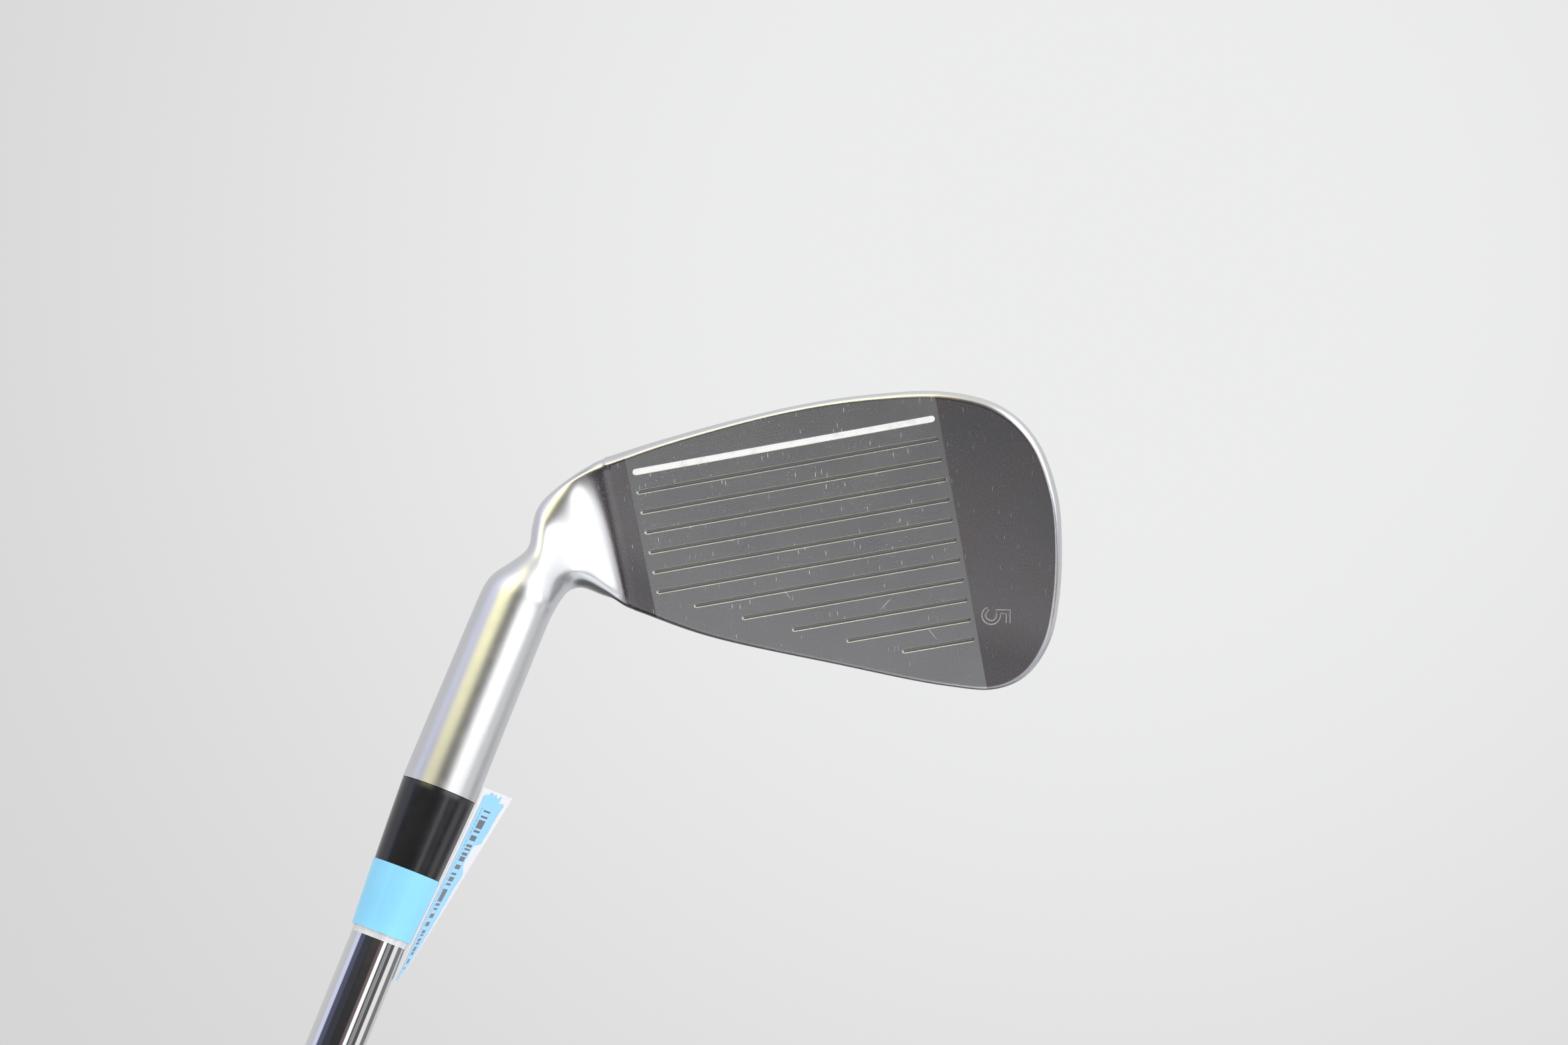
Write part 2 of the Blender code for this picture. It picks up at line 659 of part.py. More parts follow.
def make_grip_cap():
    """The closed butt of the grip, with its vent hole."""
    rubber = bpy.data.materials["grip_rubber"]
    profile = [(VENT_RADIUS, 0.0), (GRIP_BUTT_RADIUS - 1.6, 0.0), (GRIP_BUTT_RADIUS - 0.5, 0.5),
               (GRIP_BUTT_RADIUS, 1.6), (GRIP_BUTT_RADIUS, CAP_THICKNESS), (VENT_RADIUS, CAP_THICKNESS)]
    add_object("grip_cap", turned(profile), rubber)


def make_shaft_band():
    """A plain foil decal round the shaft below the grip."""
    foil = paint("decal_foil", (0.06, 0.07, 0.1), 0.3, 0.0)
    inner = shaft_radius_at(DECAL_START) + PAPER_GAP
    low, high = DECAL_START, DECAL_START + DECAL_LENGTH
    profile = [(inner, low), (inner + PAPER, low), (inner + PAPER, high), (inner, high)]
    add_object("shaft_band", turned(profile), foil)


def main():
    clear_scene()
    make_head()
    make_aim_line()
    make_cavity_pieces()
    make_epoxy()
    make_ferrule()
    make_shaft()
    make_tip_weight()
    make_label_band()
    make_label_flag()
    make_grip_tape()
    make_grip()
    make_grip_cap()
    make_shaft_band()
    bpy.context.view_layer.update()


main()
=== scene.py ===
"""A right-handed iron golf club, standing on its butt in a plain pale studio."""
import math

import bmesh
import bpy
from mathutils import Euler, Matrix, Vector, noise


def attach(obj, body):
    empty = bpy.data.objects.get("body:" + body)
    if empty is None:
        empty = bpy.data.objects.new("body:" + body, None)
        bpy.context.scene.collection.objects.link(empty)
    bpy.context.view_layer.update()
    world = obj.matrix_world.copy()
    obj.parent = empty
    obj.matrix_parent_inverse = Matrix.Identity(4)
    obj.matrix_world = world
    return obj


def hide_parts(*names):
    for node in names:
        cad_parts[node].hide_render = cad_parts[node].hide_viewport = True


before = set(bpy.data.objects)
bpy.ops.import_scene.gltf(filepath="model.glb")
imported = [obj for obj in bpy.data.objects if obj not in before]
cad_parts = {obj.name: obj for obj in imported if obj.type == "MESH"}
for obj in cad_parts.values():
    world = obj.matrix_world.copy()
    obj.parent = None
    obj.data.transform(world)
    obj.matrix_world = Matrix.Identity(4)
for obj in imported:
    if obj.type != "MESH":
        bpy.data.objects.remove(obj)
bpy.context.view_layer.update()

MM = 0.001

# Club geometry, in millimetres ---------------------------------------------------------------------

CLUB_LENGTH = 965.0
LOFT = math.radians(27.0)
LIE = math.radians(61.2)
SOLE_DEPTH = 5.3
AXIS_FOOT = Vector((-78.0, 20.0, -10.8))

HOSEL_RADIUS = 6.55
HOSEL_END = 31.0
BORE_RADIUS = 5.3

TIP_RADIUS = 4.7
BUTT_RADIUS = 7.62
STEP_COUNT = 13
FIRST_STEP = 700.0
STEP_PITCH = 45.0
STEP_LENGTH = 1.0

FERRULE_LENGTH = 24.5
FERRULE_END_RADIUS = 5.0
BAND_START = 14.3
BAND_LENGTH = 11.1
PAPER = 0.12
FLAG_LENGTH = 35.0
FLAG_DEPTH = 12.0

GRIP_LENGTH = 268.0
GRIP_BUTT_RADIUS = 13.3
GRIP_MOUTH_RADIUS = 8.9
CAP_THICKNESS = 3.2
VENT_RADIUS = 1.5

DECAL_START = 290.0
DECAL_LENGTH = 52.0

GROOVE_PITCH = 3.6
GROOVE_HEEL = -53.3
GROOVE_WIDTH = 0.75
LINE_WIDTH = 1.1
GROOVE_DEPTH = 0.5
SHORT_GROOVE_HEELS = (-47.3, -39.4, -31.1, -22.1, -12.8)
FULL_GROOVES = 7

# The blade's perimeter: face edge (x, y), lip (out, deep), back edge (x, y, z), cavity rim (x, y, z)
PERIMETER = (
    ((-57.0, -1.9), (1.3, 2.8), (-57.0, 4.6, 11.5), (-47.0, 10.5, 10.6)),
    ((-45.5, -3.7), (1.0, 2.0), (-45.5, 3.6, 14.8), (-39.5, 10.6, 11.4)),
    ((-25.0, -5.4), (0.8, 1.6), (-25.0, 3.0, 17.0), (-25.0, 10.8, 12.0)),
    ((-10.0, -4.9), (0.9, 1.6), (-9.6, 3.8, 17.4), (-10.5, 11.2, 12.2)),
    ((2.7, -2.8), (1.1, 1.8), (2.4, 5.4, 16.6), (0.5, 12.2, 12.0)),
    ((10.8, 1.3), (1.3, 2.0), (9.8, 8.4, 15.2), (6.4, 14.4, 11.4)),
    ((15.3, 7.5), (1.4, 2.4), (14.6, 12.2, 13.2), (9.6, 18.0, 10.6)),
    ((17.1, 17.0), (1.5, 2.6), (17.2, 19.0, 11.0), (11.2, 22.4, 9.4)),
    ((16.6, 25.3), (1.4, 2.6), (16.9, 25.6, 9.6), (11.0, 27.0, 8.6)),
    ((14.5, 35.2), (1.4, 2.4), (14.7, 35.0, 8.3), (9.0, 33.8, 7.6)),
    ((11.6, 42.3), (1.4, 2.0), (11.4, 41.9, 7.4), (5.8, 38.6, 7.0)),
    ((7.2, 47.0), (1.2, 1.6), (7.0, 46.5, 6.9), (2.4, 41.2, 6.6)),
    ((2.1, 48.5), (0.9, 1.4), (1.9, 48.1, 6.6), (-1.6, 41.6, 6.4)),
    ((-5.9, 46.6), (0.8, 1.2), (-5.9, 46.4, 6.4), (-8.0, 39.8, 6.2)),
    ((-24.0, 39.5), (0.8, 1.2), (-24.0, 39.3, 6.2), (-24.0, 33.6, 6.1)),
    ((-46.0, 30.2), (0.9, 1.3), (-46.0, 30.0, 6.4), (-41.0, 26.4, 6.3)),
    ((-57.0, 23.7), (1.1, 1.6), (-57.0, 23.6, 7.0), (-47.6, 22.0, 7.0)),
)
HEEL_RIM = ((-50.0, 19.4, 7.8), (-49.8, 13.4, 9.4))
CAVITY_FLOOR = 3.0
CAVITY_DRAFT = 0.8
INSERT_TOP = 18.6
BADGE_FOOT = 19.6
HOLD = 0.12
NUMERAL_CORNER = Vector((2.1, 34.3))
NUMERAL_CENTRE = Vector((4.3, 32.4, 0.0))
BACK_ROUND = 1.2
RIM_ROUND = 0.45
FLOOR_ROUND = 1.2

# Neck sections: heel side, crotch side, half depths to the face and the back, how round, and how far
# the front ridge leans to the heel
NECK = (
    ((-65.1, -0.5, 4.0), (-62.8, 21.5, 2.6), 6.2, 7.4, 0.50, 0.50),
    ((-71.2, 3.2, 3.5), (-65.9, 18.9, 0.8), 7.8, 6.6, 0.75, 0.40),
    ((-72.9, 6.5, 1.6), (-67.3, 18.1, -1.6), 7.8, 6.3, 0.88, 0.26),
    ((-73.8, 10.1, -1.4), (-68.3, 18.0, -4.4), 7.3, 6.3, 0.95, 0.14),
    ((-76.8, 11.2, -5.2), (-69.2, 18.9, -7.2), 6.9, 6.4, 1.0, 0.05),
    ((-79.9, 12.1, -8.2), (-70.0, 20.0, -8.8), 6.6, 6.5, 1.0, 0.0),
)
SHOULDER = Vector((-2.0, 0.15, -1.4))  # how far the blade's section carries on, and how it tapers
NECK_SMOOTHING = 7
FIRST_HOSEL_RING = -2.0

COLUMNS_PER_STATION = 9
HEEL_COLUMNS = 30
NECK_STEPS = 8
ROUND_STEPS = 4
TURNED_SIDES = 128


# Shape helpers -------------------------------------------------------------------------------------

def curve_through(points, steps):
    """Points on a smooth curve that passes through the given ones, of any dimension."""
    keys = [Vector(p) for p in points]
    keys = [2 * keys[0] - keys[1]] + keys + [2 * keys[-1] - keys[-2]]
    curve = []
    for a, b, c, d in zip(keys, keys[1:], keys[2:], keys[3:]):
        spans = [math.sqrt((q - p).length) + 1e-6 for p, q in ((a, b), (b, c), (c, d))]
        start = (c - b) + spans[1] * ((b - a) / spans[0] - (c - a) / (spans[0] + spans[1]))
        end = (c - b) + spans[1] * ((d - c) / spans[2] - (d - b) / (spans[1] + spans[2]))
        for step in range(steps):
            t = step / steps
            curve.append((2 * t**3 - 3 * t**2 + 1) * b + (t**3 - 2 * t**2 + t) * start
                         + (3 * t**2 - 2 * t**3) * c + (t**3 - t**2) * end)
    curve.append(keys[-2])
    return curve


def curve_through_rows(rows, steps):
    groups = [curve_through([row[i:i + 2] for row in rows], steps) for i in range(0, len(rows[0]), 2)]
    return [[number for group in groups for number in group[i]] for i in range(len(groups[0]))]


def rounded(before, corner, after, size, steps=ROUND_STEPS):
    """A corner of a profile, rounded over the given size."""
    start = corner + (before - corner).normalized() * size
    end = corner + (after - corner).normalized() * size
    return [start.lerp(corner, i / steps).lerp(corner.lerp(end, i / steps), i / steps)
            for i in range(steps + 1)]


def add_chain(bm, points, closed=False):
    verts = [bm.verts.new(p) for p in points]
    ends = verts[1:] + verts[:1] if closed else verts[1:]
    return [bm.edges.new(pair) for pair in zip(verts, ends)]


def bridge_chains(bm, chains, closed=False):
    """Faces between neighbouring chains of edges."""
    edges = [add_chain(bm, chain) for chain in chains]
    for left, right in zip(edges, edges[1:] + edges[:1] if closed else edges[1:]):
        bmesh.ops.bridge_loops(bm, edges=left + right)


def close_body(bm):
    """Merge the seams, cap the open ends and turn the faces outwards."""
    bmesh.ops.remove_doubles(bm, verts=bm.verts, dist=0.0005)
    bmesh.ops.holes_fill(bm, edges=[e for e in bm.edges if e.is_boundary], sides=0)
    bmesh.ops.recalc_face_normals(bm, faces=bm.faces)


def finish_mesh(bm, name, matrix=None, sharp=32.0):
    """A bmesh drawn in millimetres becomes an object at the origin, in metres."""
    bmesh.ops.scale(bm, vec=(MM, MM, MM), verts=bm.verts)
    if matrix:
        bmesh.ops.transform(bm, matrix=matrix, verts=bm.verts)
    mesh = bpy.data.meshes.new(name)
    bm.to_mesh(mesh)
    bm.free()
    mesh.shade_smooth()
    mesh.set_sharp_from_angle(angle=math.radians(sharp))
    obj = bpy.data.objects.new(name, mesh)
    bpy.context.scene.collection.objects.link(obj)
    return obj


def cut_away(bm, *cutters):
    """Subtract other closed bmeshes from one, and return the result."""
    objects = []
    for part in (bm, *cutters):
        mesh = bpy.data.meshes.new("work")
        part.to_mesh(mesh)
        part.free()
        objects.append(bpy.data.objects.new("work", mesh))
        bpy.context.scene.collection.objects.link(objects[-1])
    for cutter in objects[1:]:
        modifier = objects[0].modifiers.new("cut", "BOOLEAN")
        modifier.operation = "DIFFERENCE"
        modifier.solver = "EXACT"
        modifier.object = cutter
    bpy.context.view_layer.update()
    result = bmesh.new()
    result.from_object(objects[0], bpy.context.evaluated_depsgraph_get())
    for obj in objects:
        mesh = obj.data
        bpy.data.objects.remove(obj)
        bpy.data.meshes.remove(mesh)
    return result


def turned(profile, closed=True, sides=TURNED_SIDES):
    """Spin a profile of (radius, height) points round Z."""
    bm = bmesh.new()
    edges = add_chain(bm, [(radius, 0.0, height) for radius, height in profile], closed)
    verts = list(bm.verts)
    bmesh.ops.spin(bm, geom=verts + edges, axis=(0, 0, 1), cent=(0, 0, 0), angle=math.tau,
                   steps=sides, use_merge=True)
    close_body(bm)
    return bm


def slab(outline, low, high, soften):
    """A plate of the given outline with softened edges."""
    bm = bmesh.new()
    add_chain(bm, [(x, y, low) for x, y in outline], closed=True)
    bmesh.ops.holes_fill(bm, edges=bm.edges[:], sides=0)
    base = bm.faces[:]
    top = bmesh.ops.extrude_face_region(bm, geom=base, use_keep_orig=True)["geom"]
    bmesh.ops.translate(bm, vec=(0, 0, high - low), verts=[g for g in top if isinstance(g, bmesh.types.BMVert)])
    bmesh.ops.recalc_face_normals(bm, faces=bm.faces)
    edges = [e for e in bm.edges if len(e.link_faces) == 2 and e.calc_face_angle() > 1.0
             and abs(e.verts[0].co.z - e.verts[1].co.z) < 1e-6]
    bmesh.ops.bevel(bm, geom=edges, offset=soften, offset_type="OFFSET", segments=3, profile=0.5,
                    affect="EDGES", material=-1)
    return bm


# Frames --------------------------------------------------------------------------------------------

def shaft_direction():
    """From the head to the grip, in the face frame."""
    return Vector((-math.cos(LIE), math.sin(LIE) * math.cos(LOFT), -math.sin(LIE) * math.sin(LOFT)))


def head_sides():
    """Across the hosel: towards the toe in the face plane, and towards the front."""
    along = shaft_direction()
    inward = Vector((along.y, -along.x, 0.0)).normalized()
    front = along.cross(inward)
    return inward, front


def foot_height():
    along = shaft_direction()
    foot_up = AXIS_FOOT.y * math.cos(LOFT) - AXIS_FOOT.z * math.sin(LOFT)
    along_up = along.y * math.cos(LOFT) - along.z * math.sin(LOFT)
    return CLUB_LENGTH - (foot_up + SOLE_DEPTH) / along_up


def face_frame():
    """Matrix from the face frame to the standing club, in metres."""
    along = shaft_direction()
    into_head = Vector((0.0, math.sqrt(1.0 - along.z**2), -along.z))
    toeward_y = along.x * into_head.z / into_head.y
    toeward = Vector((math.sqrt(1.0 - along.x**2 - toeward_y**2), toeward_y, -along.x))
    turn = Matrix((toeward, into_head.cross(toeward), into_head)).transposed()
    place = Vector((0.0, 0.0, foot_height())) * MM - turn @ (AXIS_FOOT * MM)
    return Matrix.Translation(place) @ turn.to_4x4()


FACE = face_frame()


def along_axis(distance):
    """Height of a point on the shaft axis, from its distance past AXIS_FOOT towards the grip."""
    return foot_height() - distance


# Head ----------------------------------------------------------------------------------------------

def perimeter_stations():
    keys = [tuple(value for group in station for value in group) for station in PERIMETER]
    stations = [{"edge": Vector((v[0], v[1], 0.0)), "roll": v[2], "drop": v[3],
                 "back": Vector(v[4:7]), "rim": Vector(v[7:10])}
                for v in curve_through_rows(keys, COLUMNS_PER_STATION)]
    last = len(stations) - 1
    for i, station in enumerate(stations):
        along = stations[min(i + 1, last)]["edge"] - stations[max(i - 1, 0)]["edge"]
        station["out"] = Vector((along.y, -along.x, 0.0)).normalized()
    return stations


def wall_profile(station):
    """From the face's edge, over the rolled lip, down the wall and round the back edge."""
    edge, back, out = station["edge"], station["back"], station["out"]
    down = Vector((0.0, 0.0, station["drop"]))
    lip = [edge + out * station["roll"] * math.sin(a) + down * (1 - math.cos(a))
           for a in (math.radians(15.0 * i) for i in range(7))]
    widest = lip[-1]
    length = (back - widest).length
    slope = (back - widest).normalized()
    reach = length * 0.2
    guides = (widest, widest + Vector((0.0, 0.0, reach)), back - slope * reach, back)
    wall = []
    for i in range(1, 7):
        t = i / 7
        wall.append(guides[0] * (1 - t)**3 + guides[1] * 3 * t * (1 - t)**2
                    + guides[2] * 3 * t**2 * (1 - t) + guides[3] * t**3)
    return lip + wall + rounded(wall[-1], back, station["rim"], BACK_ROUND)


def cavity_profile(back, rim, middle):
    """From the back face over the cavity's rim, down its wall and into its floor."""
    foot = rim + Vector((middle.x - rim.x, middle.y - rim.y, 0.0)).normalized() * CAVITY_DRAFT
    foot.z = CAVITY_FLOOR
    inner = foot.lerp(Vector((middle.x, middle.y, CAVITY_FLOOR)), 0.3)
    return rounded(back, rim, foot, RIM_ROUND) + rounded(rim, foot, inner, FLOOR_ROUND)


def heel_line(start, end):
    return [start.lerp(end, i / HEEL_COLUMNS) for i in range(1, HEEL_COLUMNS)]


def solid_head():
    """The head before its grooves, numeral and bore are cut."""
    bm = bmesh.new()
    stations = perimeter_stations()
    walls = [wall_profile(s) for s in stations]
    front_heel = heel_line(walls[-1][0], walls[0][0])
    back_heel = heel_line(walls[-1][-1], walls[0][-1])
    rims = [s["rim"] for s in stations]
    heel_rim = curve_through([rims[-1], *HEEL_RIM, rims[0]], HEEL_COLUMNS // 3)[1:-1]
    middle = sum(rims, Vector()) / len(rims)

    holds = [s["edge"] - s["out"] * HOLD for s in stations]
    holds[0].x = holds[-1].x = stations[0]["edge"].x + HOLD
    blade = [[hold, *wall, *cavity_profile(wall[-1], rim, middle)]
             for hold, wall, rim in zip(holds, walls, rims)]
    bridge_chains(bm, blade)
    step = Vector((HOLD, 0.0, 0.0))
    fronts = [[holds[-1], walls[-1][0]], *([p + step, p] for p in front_heel), [holds[0], walls[0][0]]]
    bridge_chains(bm, fronts)
    backs = [[p, *cavity_profile(p, rim, middle)]
             for p, rim in zip([walls[-1][-1], *back_heel, walls[0][-1]], [rims[-1], *heel_rim, rims[0]])]
    bridge_chains(bm, backs)

    mouth = walls[0][:1] + front_heel[::-1] + walls[-1] + back_heel + walls[0][:0:-1]
    inset = COLUMNS_PER_STATION // 3
    ahead = Vector((walls[inset][0].x - walls[0][0].x, 0.0, 0.0))
    behind = (walls[inset][:1] + [p + ahead for p in front_heel[::-1]] + walls[-1 - inset]
              + [p + ahead for p in back_heel] + walls[inset][:0:-1])
    bridge_chains(bm, neck_paths(mouth, behind), closed=True)
    close_body(bm)
    neck = [v for v in bm.verts if v.co.x < mouth[0].x - 1.0 and (v.co - AXIS_FOOT).dot(shaft_direction()) < 0.0]
    for _ in range(NECK_SMOOTHING):
        bmesh.ops.smooth_vert(bm, verts=neck, factor=0.5, use_axis_x=True, use_axis_y=True, use_axis_z=True)
    return bm


def neck_paths(mouth, behind):
    """Smooth paths from the blade's open heel, through the neck, to the end of the hosel."""
    along = shaft_direction()
    inward, front = head_sides()
    low, high = mouth[0].y, max(point.y for point in mouth)
    half, middle_y = (high - low) / 2, (low + high) / 2
    deepest = max(p.z for p in mouth) - 5.0
    shape = [((p.y - middle_y) / half, (5.0 - p.z) / (5.0 if p.z < 5.0 else deepest)) for p in mouth]
    angles = [math.atan2(out, across) for across, out in shape]
    for i in range(1, len(angles)):
        while angles[i] > angles[i - 1] + math.pi:
            angles[i] -= math.tau
    angles.sort(reverse=True)

    shoulder = [p + Vector((SHOULDER.x, SHOULDER.y + SHOULDER.z * (p.y - low) / (high - low), 0.0)) for p in mouth]
    sections = [behind, mouth, shoulder]
    for heel, crotch, front_depth, back_depth, roundness, lean in NECK:
        heel, crotch = Vector(heel), Vector(crotch)
        middle, side = (heel + crotch) / 2, (crotch - heel) / 2
        out = Vector((0.0, 0.0, -1.0)).lerp(front, roundness)
        out = (out - side * out.dot(side) / side.length_squared).normalized()
        ring = []
        for (across, outward), angle in zip(shape, angles):
            u = across + (math.cos(angle) - across) * roundness
            v = outward + (math.sin(angle) - outward) * roundness
            u -= lean * max(0.0, v) * (1.0 - u * u)
            ring.append(middle + side * u + out * v * (front_depth if v > 0 else back_depth))
        sections.append(ring)
    for distance in (FIRST_HOSEL_RING, HOSEL_END * 0.3, HOSEL_END):
        centre = AXIS_FOOT + along * distance
        sections.append([centre + (inward * math.cos(a) + front * math.sin(a)) * HOSEL_RADIUS
                         for a in angles])
    curved = (len(sections) - 3) * NECK_STEPS
    paths = []
    for path in zip(*sections):
        points = curve_through(path, NECK_STEPS)
        paths.append(points[NECK_STEPS:curved + 1] + points[-1:])
    return paths


def slot_ring(heel, toe, y, radius, half_width, z, ends=9):
    """A straight slot with round ends; radius places the ends, half_width is the slot's."""
    points = []
    for centre, start in ((toe - radius, -90.0), (heel + radius, 90.0)):
        for i in range(ends + 1):
            angle = math.radians(start + 180.0 * i / ends)
            points.append((centre + half_width * math.cos(angle), y + half_width * math.sin(angle), z))
    return points


def groove_rows():
    """Heel end, height and width of each groove; the lowest is the wide aiming line."""
    heels = [GROOVE_HEEL] * FULL_GROOVES + list(SHORT_GROOVE_HEELS)
    return [(heel, i * GROOVE_PITCH, GROOVE_WIDTH if i else LINE_WIDTH) for i, heel in enumerate(heels)]


def groove_cutter():
    """Grooves with softened lips, leaning walls and a rounded floor."""
    bm = bmesh.new()
    for heel, y, width in groove_rows():
        radius = width / 2
        profile = ((0.10, -0.08), (0.02, 0.0), (-0.06, 0.08), (-0.11, 0.18), (-0.15, GROOVE_DEPTH * 0.75),
                   (-0.26, GROOVE_DEPTH))
        rings = [slot_ring(heel, 0.0, y, radius, radius + grow, z) for grow, z in profile]
        bridge_chains(bm, list(zip(*rings)), closed=True)
    close_body(bm)
    return bm


def arc(centre, radius, start, end, steps):
    angles = [math.radians(start + (end - start) * i / steps) for i in range(steps + 1)]
    return [centre + Vector((math.cos(a), math.sin(a))) * radius for a in angles]


def numeral_outline():
    """The outline of a plain 5, from its top left corner, u to its right and v up."""
    flag = [Vector(p) for p in ((0.3, 4.7), (2.5, 4.7), (2.5, 4.08), (0.92, 4.08), (0.88, 3.12))]
    bowl = Vector((1.2, 1.65))
    foot = [Vector((0.25, 2.38))]
    return flag + arc(bowl, 1.5, 86.0, -150.0, 11) + arc(bowl, 0.88, -150.0, 98.0, 8) + foot


def numeral_cutter(size=1.08, line=0.11, depth=0.12):
    """A V cut that follows the numeral's outline on the toe of the face."""
    up = Vector((0.984, 0.178))
    right = Vector((-up.y, up.x))
    path = [NUMERAL_CORNER + (right * p.x + up * p.y) * size for p in numeral_outline()]
    chains = []
    for i, point in enumerate(path):
        along = (path[(i + 1) % len(path)] - path[i - 1]).normalized()
        normal = Vector((-along.y, along.x)) * line
        left, right_side = point + normal, point - normal
        chains.append([(left.x, left.y, -0.02), (point.x, point.y, depth),
                       (right_side.x, right_side.y, -0.02), (point.x, point.y, -0.06), (left.x, left.y, -0.02)])
    bm = bmesh.new()
    bridge_chains(bm, chains, closed=True)
    close_body(bm)
    return bm


def bore_cutter():
    """The blind bore that takes the shaft."""
    along = shaft_direction()
    inward, front = head_sides()
    chains = []
    for i in range(48):
        angle = math.tau * i / 48
        side = (inward * math.cos(angle) + front * math.sin(angle)) * BORE_RADIUS
        chains.append([AXIS_FOOT + side, AXIS_FOOT + along * (HOSEL_END + 3.0) + side])
    bm = bmesh.new()
    bridge_chains(bm, chains, closed=True)
    close_body(bm)
    return bm


def make_head(material):
    bm = cut_away(solid_head(), groove_cutter(), numeral_cutter(), bore_cutter())
    return finish_mesh(bm, "iron_head", FACE), material


def make_aim_line(material):
    """Paint that fills the lowest groove to just below the face."""
    heel, y, width = groove_rows()[0]
    radius = width / 2
    profile = ((-0.03, 0.05), (-0.1, 0.035), (-0.3, 0.07), (-0.1, GROOVE_DEPTH - 0.1), (-0.03, 0.12))
    rings = [slot_ring(heel, 0.0, y, radius, radius + grow, z) for grow, z in profile[:3]]
    low = [slot_ring(heel, 0.0, y, radius, radius + grow, z) for grow, z in profile[:2:-1]]
    bm = bmesh.new()
    bridge_chains(bm, list(zip(*(rings[::-1] + low))), closed=True)
    close_body(bm)
    return finish_mesh(bm, "aim_line", FACE), material


def cavity_outline(border):
    keys = [Vector(station[3][:2]) for station in PERIMETER]
    keys += [Vector(point[:2]) for point in HEEL_RIM]
    points = curve_through(keys + [keys[0]], 6)[:-1]
    inset = []
    for i, point in enumerate(points):
        along = (points[(i + 1) % len(points)] - points[i - 1]).normalized()
        inset.append(point + Vector((-along.y, along.x)) * border)
    return inset


def stretch_of_outline(border, wanted):
    """The unbroken run of the cavity's outline where wanted is true, in its own order."""
    points = cavity_outline(border)
    start = next(i for i in range(len(points)) if wanted(points[i]) and not wanted(points[i - 1]))
    return [p for p in points[start:] + points[:start] if wanted(p)]


def squared_off(run, height):
    """Close a run of outline with a straight edge at the given height."""
    return run + [Vector((run[-1].x, height)), Vector((run[0].x, height))]


def make_insert(material):
    """Soft insert on the sole side of the cavity."""
    outline = squared_off(stretch_of_outline(1.6, lambda p: p.y < INSERT_TOP - 1.0), INSERT_TOP)
    bm = slab(outline, CAVITY_FLOOR + 0.1, CAVITY_FLOOR + 4.8, 0.4)
    for i in range(7):
        x = -40.0 + 7.2 * i
        rib = slab([(x, 13.4), (x + 4.6, 13.4), (x + 4.6, 16.6), (x, 16.6)], CAVITY_FLOOR + 4.3,
                   CAVITY_FLOOR + 6.0, 0.2)
        bm = cut_away(bm, rib)
    return finish_mesh(bm, "damping_insert", FACE), material


def make_badge(material):
    """Plate on the back of the face: a flat field inside a raised border."""
    outline = squared_off(stretch_of_outline(2.8, lambda p: p.y > BADGE_FOOT + 0.6), BADGE_FOOT)
    bm = slab(outline, CAVITY_FLOOR + 0.1, CAVITY_FLOOR + 1.3, 0.25)
    top = max(bm.faces, key=lambda f: f.calc_center_median().z + f.calc_area() * 0.001)
    bmesh.ops.inset_region(bm, faces=[top], thickness=1.3, use_even_offset=True)
    bmesh.ops.inset_region(bm, faces=[top], thickness=0.25, depth=-0.3, use_even_offset=True)
    return finish_mesh(bm, "cavity_plate", FACE), material


# Shaft and ferrule ---------------------------------------------------------------------------------

def make_shaft(material):
    """The visible outside of the stepped tube, open at both ends."""
    drop = (BUTT_RADIUS - TIP_RADIUS) / STEP_COUNT
    outside = [(TIP_RADIUS, along_axis(1.0))]
    for i in range(STEP_COUNT):
        height = FIRST_STEP - i * STEP_PITCH
        outside += [(TIP_RADIUS + (i + t) * drop, height - STEP_LENGTH * along)
                    for t, along in ((0, -0.6), (0, 0), (0.15, 0.25), (0.85, 0.75), (1, 1), (1, 1.6))]
    outside.append((BUTT_RADIUS, CAP_THICKNESS + 0.3))
    inside = [(BUTT_RADIUS - 0.65, outside[-1][1]), (BUTT_RADIUS - 0.65, 100.0),
              (TIP_RADIUS - 0.9, FIRST_STEP), (TIP_RADIUS - 0.9, outside[0][1])]
    return finish_mesh(turned(outside + inside), "stepped_shaft", sharp=50.0), material


def ferrule_radius(distance):
    """Outer radius at a distance below the hosel's end: a cone that bows outwards."""
    t = distance / FERRULE_LENGTH
    return HOSEL_RADIUS - 0.1 - (HOSEL_RADIUS - 0.1 - FERRULE_END_RADIUS) * (0.72 * t + 0.28 * t**2)


def make_ferrule(material):
    start = along_axis(HOSEL_END + 0.03)
    outside = [(ferrule_radius(0.0) - 0.12, start), (ferrule_radius(0.1) - 0.03, start - 0.06)]
    outside += [(ferrule_radius(d), start - d) for d in (0.2 + 24.1 * i / 24 for i in range(25))]
    outside += [(ferrule_radius(24.5) - 0.15, start - FERRULE_LENGTH)]
    inner = TIP_RADIUS + 0.03
    profile = outside + [(inner, start - FERRULE_LENGTH), (inner, start)]
    return finish_mesh(turned(profile), "collar"), material


# Stock label ---------------------------------------------------------------------------------------

def make_band(material):
    """Paper wrapped round the ferrule, its seam under the flag."""
    start = along_axis(HOSEL_END)
    outside, inside = [], []
    for i in range(13):
        distance = BAND_START + BAND_LENGTH * i / 12
        inner = ferrule_radius(min(distance, FERRULE_LENGTH)) + 0.06
        outside.append((inner + PAPER, start - distance))
        inside.append((inner, start - distance))
    return finish_mesh(turned(outside + inside[::-1]), "label_wrap"), material


